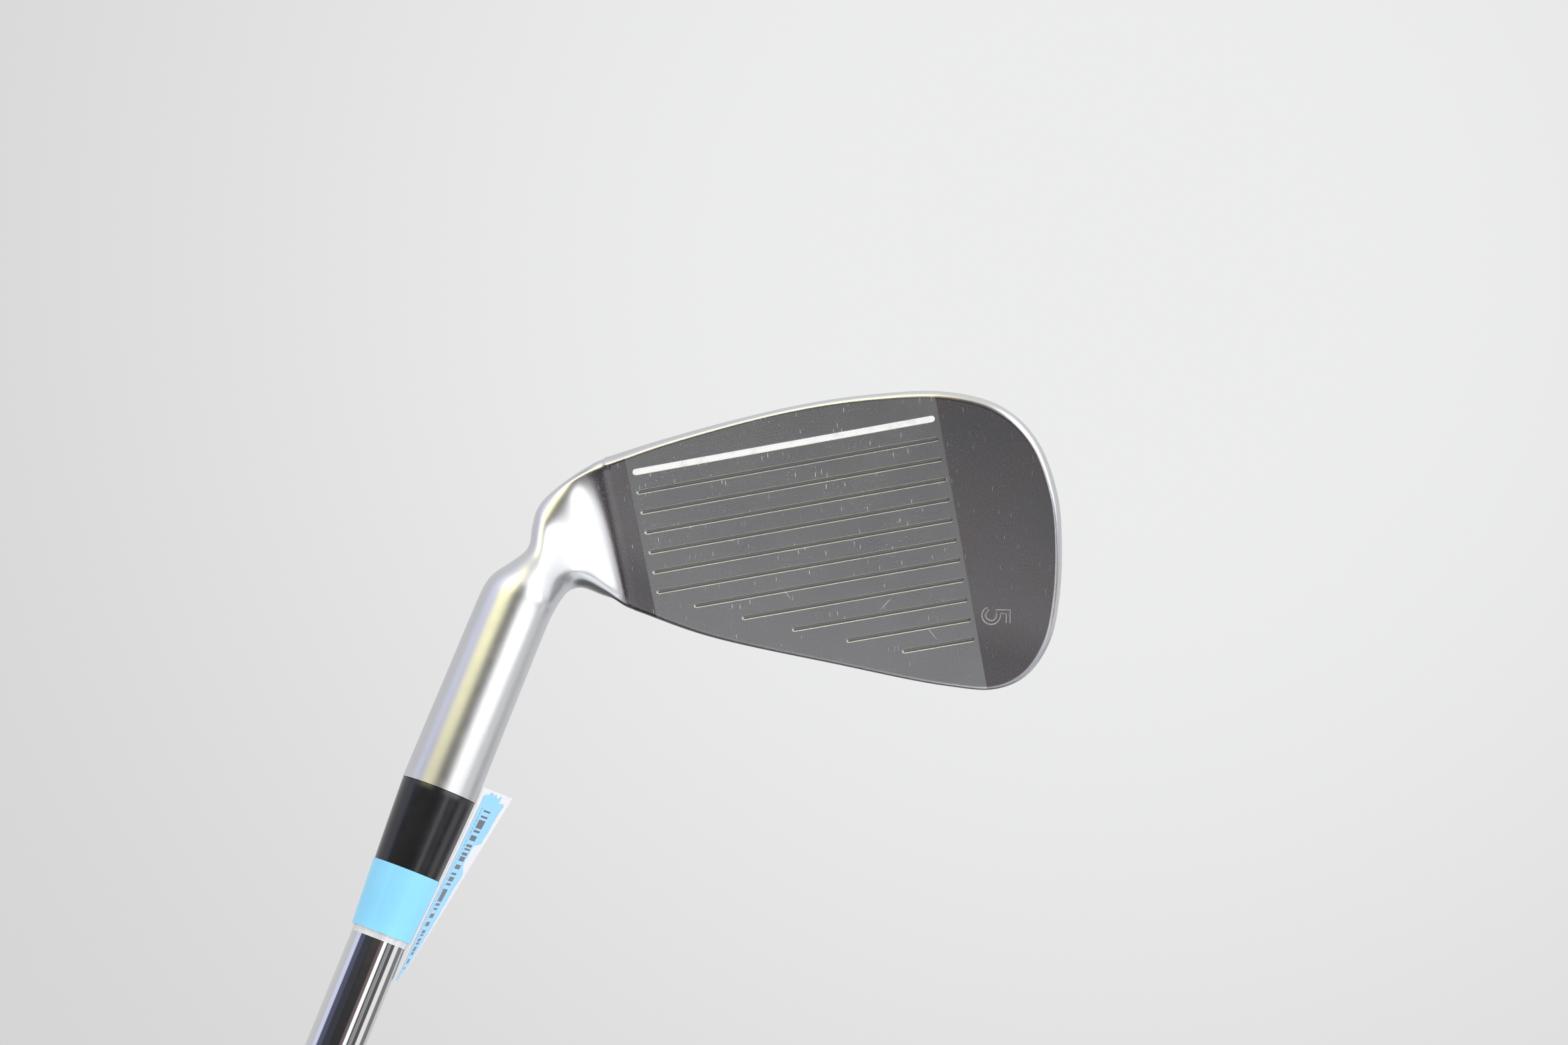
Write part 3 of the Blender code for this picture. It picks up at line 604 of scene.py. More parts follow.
def make_film(material):
    """Clear carrier film that shows past the paper's lower edge."""
    start = along_axis(HOSEL_END + BAND_START + BAND_LENGTH)
    profile = [(TIP_RADIUS + 0.32, start), (TIP_RADIUS + 0.16, start - 0.5), (TIP_RADIUS + 0.1, start - 1.1),
               (TIP_RADIUS + 0.04, start - 1.1), (TIP_RADIUS + 0.1, start - 0.5), (TIP_RADIUS + 0.26, start)]
    return finish_mesh(turned(profile), "label_film"), material


def flag_point(u, v):
    """On the flag, u from the shaft outwards and v from its top edge down, in the face frame."""
    inward_axis, front_axis = head_sides()
    near = Vector((6.95, 0.3)).lerp(Vector((5.25, 0.3)), v)
    far = Vector((11.4, 0.3 - FLAG_DEPTH)).lerp(Vector((5.1, 0.3 - FLAG_DEPTH)), v)
    place = near.lerp(far, u)
    bow = 0.25 * math.sin(math.pi * v) * u + 0.08 * math.sin(7.0 * v + 2.0 * u)
    distance = HOSEL_END - 3.1 - 0.8 * u + FLAG_LENGTH * v
    return (AXIS_FOOT + shaft_direction() * distance + inward_axis * (place.x + bow)
            + front_axis * place.y)


def make_flag(material):
    """The label's two glued ends: a thin sheet with a slight twist, with its own UV map."""
    rows, columns = 60, 24
    inward_axis, _ = head_sides()
    bm = bmesh.new()
    bmesh.ops.create_grid(bm, x_segments=columns, y_segments=rows, size=0.5)
    layer = bm.loops.layers.uv.new("label")
    for face in bm.faces:
        for loop in face.loops:
            loop[layer].uv = (loop.vert.co.x + 0.5, loop.vert.co.y + 0.5)
    for vert in bm.verts:
        vert.co = flag_point(vert.co.x + 0.5, 0.5 - vert.co.y)
    bmesh.ops.recalc_face_normals(bm, faces=bm.faces)
    bmesh.ops.solidify(bm, geom=bm.faces[:], thickness=PAPER)
    bmesh.ops.recalc_face_normals(bm, faces=bm.faces)
    return finish_mesh(bm, "label_tag", FACE), material


# Grip ----------------------------------------------------------------------------------------------

def grip_radius(height):
    t = max(0.0, min(1.0, (height - 14.0) / (GRIP_LENGTH - 22.0)))
    return GRIP_BUTT_RADIUS + (GRIP_MOUTH_RADIUS + 0.35 - GRIP_BUTT_RADIUS) * t**0.8


def grip_relief(angle, height):
    """Depth of the moulded pattern: rows of small lozenges, with plain bands at both ends."""
    if not 26.0 < height < GRIP_LENGTH - 22.0:
        return 0.0
    turns = 22
    row = height / 3.4
    across = angle * turns / math.tau + 0.5 * (int(row) % 2)
    x, y = across % 1.0 - 0.5, row % 1.0 - 0.5
    return 0.32 * max(0.0, min(1.0, 2.6 * (0.42 - abs(x) - abs(y))))


def make_grip(material):
    inner = BUTT_RADIUS + 0.7
    rows = 330
    low, high = CAP_THICKNESS + 0.05, GRIP_LENGTH - 1.2
    outside = [(grip_radius(low + (high - low) * i / rows), low + (high - low) * i / rows)
               for i in range(rows + 1)]
    outside += [(GRIP_MOUTH_RADIUS + 0.2, GRIP_LENGTH - 0.5), (GRIP_MOUTH_RADIUS - 0.1, GRIP_LENGTH)]
    bm = turned(outside + [(inner, GRIP_LENGTH), (inner, low)], sides=176)
    for vert in bm.verts:
        radius = math.hypot(vert.co.x, vert.co.y)
        if radius > inner + 0.2:
            scale = 1.0 - grip_relief(math.atan2(vert.co.y, vert.co.x), vert.co.z) / radius
            vert.co.x *= scale
            vert.co.y *= scale
    return finish_mesh(bm, "grip_skin", sharp=60.0), material


def make_cap(material):
    profile = [(VENT_RADIUS, 0.0), (VENT_RADIUS + 2.0, 0.0), (VENT_RADIUS + 2.3, 0.35), (VENT_RADIUS + 2.8, 0.35),
               (VENT_RADIUS + 3.1, 0.0), (GRIP_BUTT_RADIUS - 1.9, 0.0), (GRIP_BUTT_RADIUS - 1.2, 0.15),
               (GRIP_BUTT_RADIUS - 0.5, 0.55), (GRIP_BUTT_RADIUS - 0.1, 1.2), (GRIP_BUTT_RADIUS, 1.9),
               (GRIP_BUTT_RADIUS, CAP_THICKNESS), (VENT_RADIUS, CAP_THICKNESS)]
    return finish_mesh(turned(profile), "butt_cap"), material


def make_decal(material):
    drop = (BUTT_RADIUS - TIP_RADIUS) / STEP_COUNT
    steps_above = sum(FIRST_STEP - i * STEP_PITCH > DECAL_START for i in range(STEP_COUNT))
    inner = TIP_RADIUS + drop * steps_above + 0.03
    low, high = DECAL_START, DECAL_START + DECAL_LENGTH
    profile = [(inner, low), (inner + 0.08, low), (inner + 0.08, high), (inner, high)]
    return finish_mesh(turned(profile), "foil_band"), material


# Materials -----------------------------------------------------------------------------------------

class Nodes:
    """Short hand for building one node tree."""

    def __init__(self, tree):
        self.tree = tree

    def add(self, kind, inputs=None, **settings):
        node = self.tree.nodes.new(kind)
        for key, value in settings.items():
            setattr(node, key, value)
        for key, value in (inputs or {}).items():
            if isinstance(value, bpy.types.NodeSocket):
                self.tree.links.new(value, node.inputs[key])
            else:
                node.inputs[key].default_value = value
        return node

    def math(self, operation, a, b=0.0, c=0.0):
        return self.add("ShaderNodeMath", {0: a, 1: b, 2: c}, operation=operation).outputs[0]

    def ramp(self, value, low, high, start=0.0, end=1.0, kind="SMOOTHSTEP"):
        inputs = {"Value": value, "From Min": low, "From Max": high, "To Min": start, "To Max": end}
        return self.add("ShaderNodeMapRange", inputs, interpolation_type=kind).outputs[0]

    def mix(self, factor, a, b):
        node = self.add("ShaderNodeMix", {"Factor": factor}, data_type="RGBA")
        for socket, value in ((node.inputs[6], a), (node.inputs[7], b)):
            if isinstance(value, bpy.types.NodeSocket):
                self.tree.links.new(value, socket)
            else:
                socket.default_value = (*value, 1.0)
        return node.outputs[2]

    def noise(self, vector, scale, detail=3.0, roughness=0.5):
        return self.add("ShaderNodeTexNoise", {"Vector": vector, "Scale": scale, "Detail": detail,
                                               "Roughness": roughness}).outputs[0]

    def mapping(self, vector, location=(0, 0, 0), rotation=(0, 0, 0), scale=(1, 1, 1), kind="POINT"):
        return self.add("ShaderNodeMapping", {"Vector": vector, "Location": location, "Rotation": rotation,
                                              "Scale": scale}, vector_type=kind).outputs[0]

    def group(self, tree, inputs):
        return self.add("ShaderNodeGroup", inputs, node_tree=tree)


def new_group(name, inputs, outputs):
    tree = bpy.data.node_groups.new(name, "ShaderNodeTree")
    kinds = {"float": "NodeSocketFloat", "vector": "NodeSocketVector", "color": "NodeSocketColor"}
    for socket, kind, value in inputs:
        item = tree.interface.new_socket(socket, in_out="INPUT", socket_type=kinds[kind])
        if value is not None:
            item.default_value = value
    for socket, kind in outputs:
        tree.interface.new_socket(socket, in_out="OUTPUT", socket_type=kinds[kind])
    nodes = Nodes(tree)
    return tree, nodes, nodes.add("NodeGroupInput").outputs, nodes.add("NodeGroupOutput")


def new_material(name, roughness=0.5, metallic=0.0, color=(0.5, 0.5, 0.5)):
    material = bpy.data.materials.new(name)
    material.use_nodes = True
    shader = material.node_tree.nodes["Principled BSDF"]
    shader.inputs["Roughness"].default_value = roughness
    shader.inputs["Metallic"].default_value = metallic
    shader.inputs["Base Color"].default_value = (*color, 1.0)
    nodes = Nodes(material.node_tree)
    place = nodes.add("ShaderNodeTexCoord").outputs["Object"]
    return material, nodes, shader, place


def wire(nodes, shader, **sockets):
    names = {"color": "Base Color", "rough": "Roughness", "metal": "Metallic", "alpha": "Alpha",
             "normal": "Normal", "coat": "Coat Weight"}
    for key, socket in sockets.items():
        nodes.tree.links.new(socket, shader.inputs[names[key]])


def bump(nodes, height, distance, strength=1.0, normal=None):
    inputs = {"Height": height, "Distance": distance, "Strength": strength}
    if normal is not None:
        inputs["Normal"] = normal
    return nodes.add("ShaderNodeBump", inputs).outputs[0]


def scratch_group():
    """Short straight scratches, in millimetres: a mask of thin lens shapes, one in some of the cells."""
    tree, n, given, result = new_group(
        "short_scratches",
        (("Vector", "vector", None), ("Density", "float", 0.3), ("Thickness", "float", 0.1),
         ("Length", "float", 2.0), ("Pitch", "float", 2.5)),
        (("Mask", "float"),))
    stretch = n.add("ShaderNodeCombineXYZ", {"X": 1.0, "Y": n.math("DIVIDE", 1.0, given["Length"]), "Z": 0.0})
    scaled = n.add("ShaderNodeVectorMath", {0: given["Vector"], 1: stretch.outputs[0]}, operation="MULTIPLY")
    cells = n.add("ShaderNodeTexVoronoi", {"Vector": scaled.outputs[0],
                                           "Scale": n.math("DIVIDE", 1.0, given["Pitch"])},
                  voronoi_dimensions="2D")
    picked = n.math("LESS_THAN", n.add("ShaderNodeSeparateColor", {"Color": cells.outputs["Color"]}).outputs[0],
                    given["Density"])
    near = n.ramp(cells.outputs["Distance"], given["Thickness"], n.math("MULTIPLY", given["Thickness"], 0.4))
    n.tree.links.new(n.math("MULTIPLY", picked, near), result.inputs["Mask"])
    return tree


def mottle_group():
    """Slow change of tone over a surface, with fine grain on top."""
    tree, n, given, result = new_group(
        "mottle", (("Vector", "vector", None), ("Patch", "float", 0.1), ("Grain", "float", 3.0)),
        (("Tone", "float"), ("Grain", "float")))
    n.tree.links.new(n.noise(given["Vector"], given["Patch"], 4.0, 0.6), result.inputs["Tone"])
    n.tree.links.new(n.noise(given["Vector"], given["Grain"], 2.0, 0.7), result.inputs["Grain"])
    return tree


def face_coordinates(nodes, place):
    """Object coordinates turned into the face frame, in millimetres."""
    return nodes.mapping(place, FACE.to_translation(), FACE.to_euler(), (MM, MM, MM), "TEXTURE")


def steel_material(scratches, mottle):
    """Satin steel: a milled hitting area between two plain ends, ball marks and marks worn by handling, with painted
    shade on the plain ends towards the top line and a painted highlight in the numeral's cut.
    """
    material, n, shader, place = new_material("satin_steel", 0.3, 1.0)
    spot = face_coordinates(n, place)
    xyz = n.add("ShaderNodeSeparateXYZ", {"Vector": spot}).outputs
    on_face = n.ramp(n.math("ABSOLUTE", xyz["Z"]), 0.6, 0.02)
    between = n.math("MULTIPLY", n.ramp(xyz["X"], -54.3, -54.1), n.ramp(xyz["X"], 0.75, 0.6))
    hitting = n.math("MULTIPLY", on_face, between)

    tone = n.group(mottle, {"Vector": spot, "Patch": 0.07, "Grain": 3.4}).outputs
    plain_tone_and_shade = n.mix(n.ramp(tone["Tone"], 0.42, 0.62), (0.42, 0.405, 0.435), (0.42, 0.375, 0.37))
    # Painted shade: the plain ends of the face are darkened towards the top line; the random tone before it is the
    # steel's own.
    below_top_line = n.math("SUBTRACT", n.math("MULTIPLY_ADD", xyz["X"], 0.41, 47.4), xyz["Y"])
    plain_tone_and_shade = n.mix(n.ramp(below_top_line, 15.0, 4.0), plain_tone_and_shade, (0.26, 0.245, 0.26))
    neutral = n.mix(tone["Tone"], (0.60, 0.61, 0.62), (0.66, 0.67, 0.67))
    milled = n.mix(tone["Tone"], (0.48, 0.485, 0.50), (0.56, 0.565, 0.575))
    color = n.mix(on_face, neutral, plain_tone_and_shade)
    color = n.mix(hitting, color, milled)
    grain = n.math("MULTIPLY", n.ramp(n.noise(spot, 4.6, 4.0, 0.8), 0.35, 0.72), on_face)
    grain = n.math("MULTIPLY", grain, n.ramp(between, 0.0, 1.0, 0.25, 0.5, "LINEAR"))
    color = n.mix(grain, color, (0.80, 0.80, 0.82))

    nicks = n.group(scratches, {"Vector": n.mapping(spot, rotation=(0, 0, -0.12)), "Density": 0.7,
                                "Thickness": 0.06, "Length": 11.0, "Pitch": 0.9}).outputs[0]
    long_ones = n.group(scratches, {"Vector": n.mapping(spot, rotation=(0, 0, 0.5)), "Density": 0.12,
                                    "Thickness": 0.03, "Length": 30.0, "Pitch": 2.2}).outputs[0]
    crossing = n.group(scratches, {"Vector": n.mapping(spot, (3.0, 1.0, 0.0), rotation=(0, 0, -0.9)),
                                   "Density": 0.1, "Thickness": 0.03, "Length": 22.0, "Pitch": 2.6}).outputs[0]
    specks = n.ramp(n.noise(n.mapping(spot, (7.0, 2.0, 0.0), scale=(5.0, 2.6, 1.0)), 1.0, 2.0, 0.7), 0.64, 0.72)
    patchy = n.ramp(n.noise(spot, 0.16, 3.0), 0.38, 0.62, 0.12, 1.0)
    centre = n.mapping(spot, (1.0, -0.4, 0.0), (0, 0, 0), (0.032, 0.035, 0.0))
    struck = n.ramp(n.add("ShaderNodeVectorMath", {0: centre}, operation="LENGTH").outputs["Value"], 1.5, 0.3, 0.25)
    worn = n.math("MULTIPLY", n.math("MAXIMUM", nicks, n.math("MULTIPLY", specks, 0.8)),
                  n.math("MULTIPLY", patchy, struck))
    wear_and_highlight = n.math("MAXIMUM", worn, n.math("MULTIPLY", n.math("MAXIMUM", long_ones, crossing), 0.55))
    wear_and_highlight = n.math("MULTIPLY", wear_and_highlight, on_face)
    # Painted highlight: the inside of the numeral's cut is lightened, standing in for its walls catching light.
    to_numeral = n.add("ShaderNodeVectorMath", {0: spot, 1: NUMERAL_CENTRE}, operation="DISTANCE").outputs["Value"]
    numeral = n.math("MULTIPLY", n.ramp(to_numeral, 7.0, 6.8), n.ramp(xyz["Z"], 0.01, 0.03))
    numeral = n.math("MULTIPLY", numeral, n.ramp(xyz["X"], 0.9, 1.0))
    wear_and_highlight = n.math("MAXIMUM", wear_and_highlight, n.math("MULTIPLY", numeral, 0.6))
    # Real scratches and ball marks, and the numeral's painted highlight, all lighten the colour here.
    color = n.mix(wear_and_highlight, color, (0.85, 0.85, 0.85))

    lines = n.noise(n.mapping(spot, scale=(0.12, 6.0, 1.0)), 1.0, 3.0, 0.7)
    lay = n.math("ADD", n.noise(n.mapping(spot, rotation=(0, 0, 0.8), scale=(5.0, 0.5, 1.0)), 1.0, 2.0, 0.6),
                 n.noise(n.mapping(spot, rotation=(0, 0, -0.8), scale=(5.0, 0.5, 1.0)), 1.0, 2.0, 0.6))
    height = n.add("ShaderNodeMix", {"Factor": hitting, 2: n.math("MULTIPLY", lay, 0.8),
                                     3: n.math("MULTIPLY", lines, 1.6)}, data_type="FLOAT").outputs[0]
    height = n.math("ADD", n.math("MULTIPLY", height, on_face), n.math("MULTIPLY", tone["Grain"], 0.6))
    normal = bump(n, height, 0.005 * MM, 1.0)
    normal = bump(n, wear_and_highlight, 0.012 * MM, 0.8, normal)

    plain = n.ramp(n.noise(spot, 0.35, 4.0, 0.6), 0.3, 0.7, 0.29, 0.36, "LINEAR")
    face_rough = n.math("ADD", n.ramp(tone["Tone"], 0.3, 0.7, 0.21, 0.27, "LINEAR"), n.math("MULTIPLY", hitting, 0.05))
    rough = n.add("ShaderNodeMix", {"Factor": on_face, 2: plain, 3: face_rough}, data_type="FLOAT").outputs[0]
    rough = n.math("ADD", rough, n.math("MULTIPLY", wear_and_highlight, 0.2))
    metal = n.math("SUBTRACT", 1.0, n.math("MULTIPLY", wear_and_highlight, 0.62))
    metal = n.math("SUBTRACT", metal, n.math("MULTIPLY", grain, 0.18))
    wire(n, shader, color=color, rough=rough, metal=metal, normal=normal)
    return material


def chrome_material(mottle):
    """Mirror chrome with faint polishing lines along the tube."""
    material, n, shader, place = new_material("mirror_chrome", 0.05, 1.0)
    spot = n.mapping(place, scale=(1000.0, 1000.0, 1000.0))
    lines = n.noise(n.mapping(spot, scale=(6.0, 6.0, 0.02)), 1.0, 2.0)
    tone = n.group(mottle, {"Vector": spot, "Patch": 0.05, "Grain": 1.0}).outputs
    color = n.mix(tone["Tone"], (0.62, 0.62, 0.63), (0.68, 0.68, 0.69))
    rough = n.ramp(tone["Grain"], 0.3, 0.8, 0.035, 0.09, "LINEAR")
    wire(n, shader, color=color, rough=rough, normal=bump(n, lines, 0.0006 * MM, 1.0))
    return material


def ferrule_material(scratches, mottle):
    """Polished black plastic with the light haze of handling."""
    material, n, shader, place = new_material("black_collar", 0.25)
    spot = n.mapping(place, scale=(1000.0, 1000.0, 1000.0))
    tone = n.group(mottle, {"Vector": spot, "Patch": 0.25, "Grain": 3.0}).outputs
    color = n.mix(tone["Tone"], (0.007, 0.008, 0.009), (0.013, 0.013, 0.015))
    marks = n.group(scratches, {"Vector": n.mapping(spot, rotation=(math.radians(90), 0, 0)), "Density": 0.3,
                                "Thickness": 0.04, "Length": 6.0, "Pitch": 1.5}).outputs[0]
    rough = n.ramp(tone["Tone"], 0.25, 0.75, 0.16, 0.26, "LINEAR")
    normal = bump(n, n.math("SUBTRACT", tone["Tone"], n.math("MULTIPLY", marks, 0.2)), 0.012 * MM, 1.0)
    wire(n, shader, color=color, rough=rough, normal=normal)
    return material


def paint_material(mottle):
    material, n, shader, place = new_material("white_fill", 0.45)
    spot = n.mapping(place, scale=(1000.0, 1000.0, 1000.0))
    tone = n.group(mottle, {"Vector": spot, "Patch": 0.5, "Grain": 4.0}).outputs
    wire(n, shader, color=n.mix(n.ramp(tone["Tone"], 0.45, 0.75), (0.82, 0.83, 0.84), (0.70, 0.70, 0.69)),
         normal=bump(n, tone["Grain"], 0.02 * MM, 1.0))
    return material


def paper_material(mottle):
    """Coated light blue paper."""
    material, n, shader, place = new_material("blue_paper", 0.4, 0.0)
    spot = n.mapping(place, scale=(1000.0, 1000.0, 1000.0))
    tone = n.group(mottle, {"Vector": spot, "Patch": 0.15, "Grain": 5.0}).outputs
    color = n.mix(tone["Tone"], (0.21, 0.60, 0.92), (0.29, 0.68, 0.96))
    wire(n, shader, color=color, rough=n.ramp(tone["Grain"], 0.3, 0.7, 0.3, 0.42, "LINEAR"),
         normal=bump(n, tone["Grain"], 0.006 * MM, 1.0))
    return material


def tag_material(mottle):
    """The flag: blue paper on clear film, a row of plain grey bars and a line of fine dashes."""
    material, n, shader, place = new_material("printed_tag", 0.4, 0.0)
    uv = n.add("ShaderNodeUVMap", uv_map="label").outputs[0]
    xy = n.add("ShaderNodeSeparateXYZ", {"Vector": uv}).outputs
    spot = n.mapping(place, scale=(1000.0, 1000.0, 1000.0))
    tone = n.group(mottle, {"Vector": spot, "Patch": 0.3, "Grain": 5.0}).outputs
    blue = n.mix(tone["Tone"], (0.24, 0.60, 0.93), (0.36, 0.68, 0.97))
    wobble = n.math("MULTIPLY", n.math("SUBTRACT", n.noise(spot, 0.3, 3.0), 0.5), 0.16)
    torn = n.math("MULTIPLY", n.ramp(xy["Y"], 0.74, 0.71), n.ramp(xy["Y"], 0.56, 0.62))
    far = n.math("SUBTRACT", n.math("ADD", 0.86, wobble), n.math("MULTIPLY", torn, 0.24))
    margin = n.math("MAXIMUM", n.ramp(xy["X"], 0.115, 0.10),
                    n.math("GREATER_THAN", xy["X"], far))
    margin = n.math("MAXIMUM", margin, n.math("GREATER_THAN", n.math("ADD", xy["Y"], wobble), 0.965))
    color = n.mix(margin, blue, (0.84, 0.86, 0.90))
    bars = n.add("ShaderNodeTexNoise", {"W": n.math("MULTIPLY", xy["Y"], 46.0), "Scale": 1.0, "Detail": 0.0},
                 noise_dimensions="1D").outputs[0]
    column = n.math("MULTIPLY", n.ramp(xy["X"], 0.30, 0.31), n.ramp(xy["X"], 0.56, 0.55))
    row = n.math("MULTIPLY", n.ramp(xy["Y"], 0.04, 0.045), n.ramp(xy["Y"], 0.91, 0.905))
    dashes = n.add("ShaderNodeTexNoise", {"W": n.math("MULTIPLY", xy["Y"], 130.0), "Scale": 1.0, "Detail": 0.0},
                   noise_dimensions="1D").outputs[0]
    line = n.math("MULTIPLY", n.ramp(xy["X"], 0.20, 0.205), n.ramp(xy["X"], 0.25, 0.245))
    printed = n.math("MAXIMUM", n.math("MULTIPLY", column, n.ramp(bars, 0.47, 0.48)),
                     n.math("MULTIPLY", n.math("MULTIPLY", line, n.ramp(dashes, 0.46, 0.5)), 0.6))
    color = n.mix(n.math("MULTIPLY", printed, row), color, (0.10, 0.12, 0.15))
    wire(n, shader, color=color, rough=n.ramp(tone["Grain"], 0.3, 0.7, 0.3, 0.45, "LINEAR"),
         alpha=n.ramp(margin, 0.0, 1.0, 1.0, 0.45, "LINEAR"), normal=bump(n, tone["Grain"], 0.006 * MM, 1.0))
    return material


def film_material(mottle):
    """Clear film: mostly see-through, with a soft gloss."""
    material, n, shader, place = new_material("clear_film", 0.15, 0.0, (0.9, 0.92, 0.95))
    spot = n.mapping(place, scale=(1000.0, 1000.0, 1000.0))
    tone = n.group(mottle, {"Vector": spot, "Patch": 0.6, "Grain": 3.0}).outputs
    wire(n, shader, alpha=n.ramp(tone["Tone"], 0.3, 0.7, 0.3, 0.6, "LINEAR"))
    return material


def rubber_material(name, mottle, dark, light, rough_low, rough_high):
    material, n, shader, place = new_material(name, 0.7)
    spot = n.mapping(place, scale=(1000.0, 1000.0, 1000.0))
    tone = n.group(mottle, {"Vector": spot, "Patch": 0.08, "Grain": 4.0}).outputs
    wire(n, shader, color=n.mix(tone["Tone"], dark, light),
         rough=n.ramp(tone["Grain"], 0.3, 0.7, rough_low, rough_high, "LINEAR"),
         normal=bump(n, tone["Grain"], 0.03 * MM, 1.0))
    return material


def plate_material(mottle):
    """Brushed plate: fine lines across it."""
    material, n, shader, place = new_material("brushed_plate", 0.3, 1.0)
    spot = face_coordinates(n, place)
    tone = n.group(mottle, {"Vector": spot, "Patch": 0.1, "Grain": 2.0}).outputs
    lines = n.noise(n.mapping(spot, scale=(0.1, 8.0, 1.0)), 1.0, 3.0)
    wire(n, shader, color=n.mix(tone["Tone"], (0.42, 0.43, 0.45), (0.52, 0.53, 0.55)),
         rough=n.ramp(lines, 0.3, 0.7, 0.24, 0.4, "LINEAR"), normal=bump(n, lines, 0.004 * MM, 1.0))
    return material


def foil_material(mottle):
    """Dark foil with two plain bright rings near each end."""
    material, n, shader, place = new_material("foil", 0.3, 0.3)
    height = n.math("MULTIPLY", n.add("ShaderNodeSeparateXYZ", {"Vector": place}).outputs["Z"], 1000.0)
    spot = n.mapping(place, scale=(1000.0, 1000.0, 1000.0))
    tone = n.group(mottle, {"Vector": spot, "Patch": 0.1, "Grain": 3.0}).outputs
    from_middle = n.math("ABSOLUTE", n.math("SUBTRACT", height, DECAL_START + DECAL_LENGTH / 2))
    ring = n.math("MULTIPLY", n.ramp(from_middle, 20.9, 21.0), n.ramp(from_middle, 23.1, 23.0))
    color = n.mix(tone["Tone"], (0.03, 0.035, 0.05), (0.045, 0.05, 0.07))
    wire(n, shader, color=n.mix(ring, color, (0.6, 0.61, 0.63)),
         rough=n.ramp(tone["Grain"], 0.3, 0.7, 0.22, 0.36, "LINEAR"))
    return material


def hidden_material(name, mottle, dark, light, rough, metallic=0.0):
    material, n, shader, place = new_material(name, rough, metallic)
    spot = n.mapping(place, scale=(1000.0, 1000.0, 1000.0))
    tone = n.group(mottle, {"Vector": spot, "Patch": 0.2, "Grain": 3.0}).outputs
    wire(n, shader, color=n.mix(tone["Tone"], dark, light), normal=bump(n, tone["Grain"], 0.02 * MM, 1.0))
    return material


# Studio --------------------------------------------------------------------------------------------

BACKDROP_BRIGHT = (0.838, 0.842, 0.842)
BACKDROP_DIM = (0.665, 0.655, 0.665)
BACKDROP_GLOW = Vector((0.10, 0.93, 0.36)).normalized()
DOME = (0.92, 0.92, 0.93)

# Soft panels seen in reflections: azimuth to the right of the front, elevation, half width and half
# height in degrees, softness, colour. Later panels cover earlier ones.
PANELS = (
    (0.0, -62.0, 180.0, 44.0, 8.0, (0.16, 0.16, 0.16)),
    (0.0, 88.0, 180.0, 36.0, 10.0, (0.92, 0.92, 0.90)),
    (0.0, -54.0, 62.0, 22.0, 5.0, (0.42, 0.42, 0.425)),
    (0.0, -85.0, 180.0, 18.0, 8.0, (0.06, 0.06, 0.06)),
    (0.0, -14.5, 42.0, 16.5, 6.0, (0.05, 0.05, 0.053)),
    (0.0, 22.0, 11.0, 18.0, 8.0, (0.14, 0.13, 0.10)),
    (22.0, 48.0, 38.0, 9.0, 8.0, (1.1, 1.1, 1.12)),
    (-40.0, 34.0, 18.0, 24.0, 7.0, (3.2, 3.0, 1.75)),
    (-72.0, 34.0, 13.0, 28.0, 7.0, (1.1, 1.1, 1.5)),
    (46.0, 34.0, 24.0, 28.0, 7.0, (2.9, 2.9, 2.95)),
    (88.0, -42.0, 34.0, 31.0, 6.0, (0.95, 0.98, 1.06)),
    (54.0, -42.0, 22.0, 31.0, 5.0, (1.36, 1.38, 1.44)),
    (-84.0, -4.0, 9.0, 7.0, 4.0, (0.90, 0.95, 1.20)),
    (-60.0, -4.0, 12.0, 7.0, 4.0, (0.13, 0.14, 0.23)),
    (-36.0, -4.0, 14.0, 7.0, 4.0, (0.07, 0.07, 0.09)),
    (22.0, -4.0, 5.0, 7.0, 3.0, (0.24, 0.17, 0.18)),
    (36.0, -4.0, 6.0, 7.0, 3.0, (1.7, 1.7, 1.75)),
    (47.0, -4.0, 2.5, 7.0, 2.0, (0.08, 0.08, 0.09)),
    (56.0, -4.0, 5.0, 7.0, 3.0, (0.42, 0.40, 0.40)),
    (72.0, -4.0, 8.0, 7.0, 3.0, (0.14, 0.14, 0.15)),
    (92.0, -4.0, 10.0, 7.0, 3.0, (1.2, 1.18, 1.15)),
    (117.0, -4.0, 12.0, 7.0, 4.0, (0.28, 0.28, 0.29)),
)


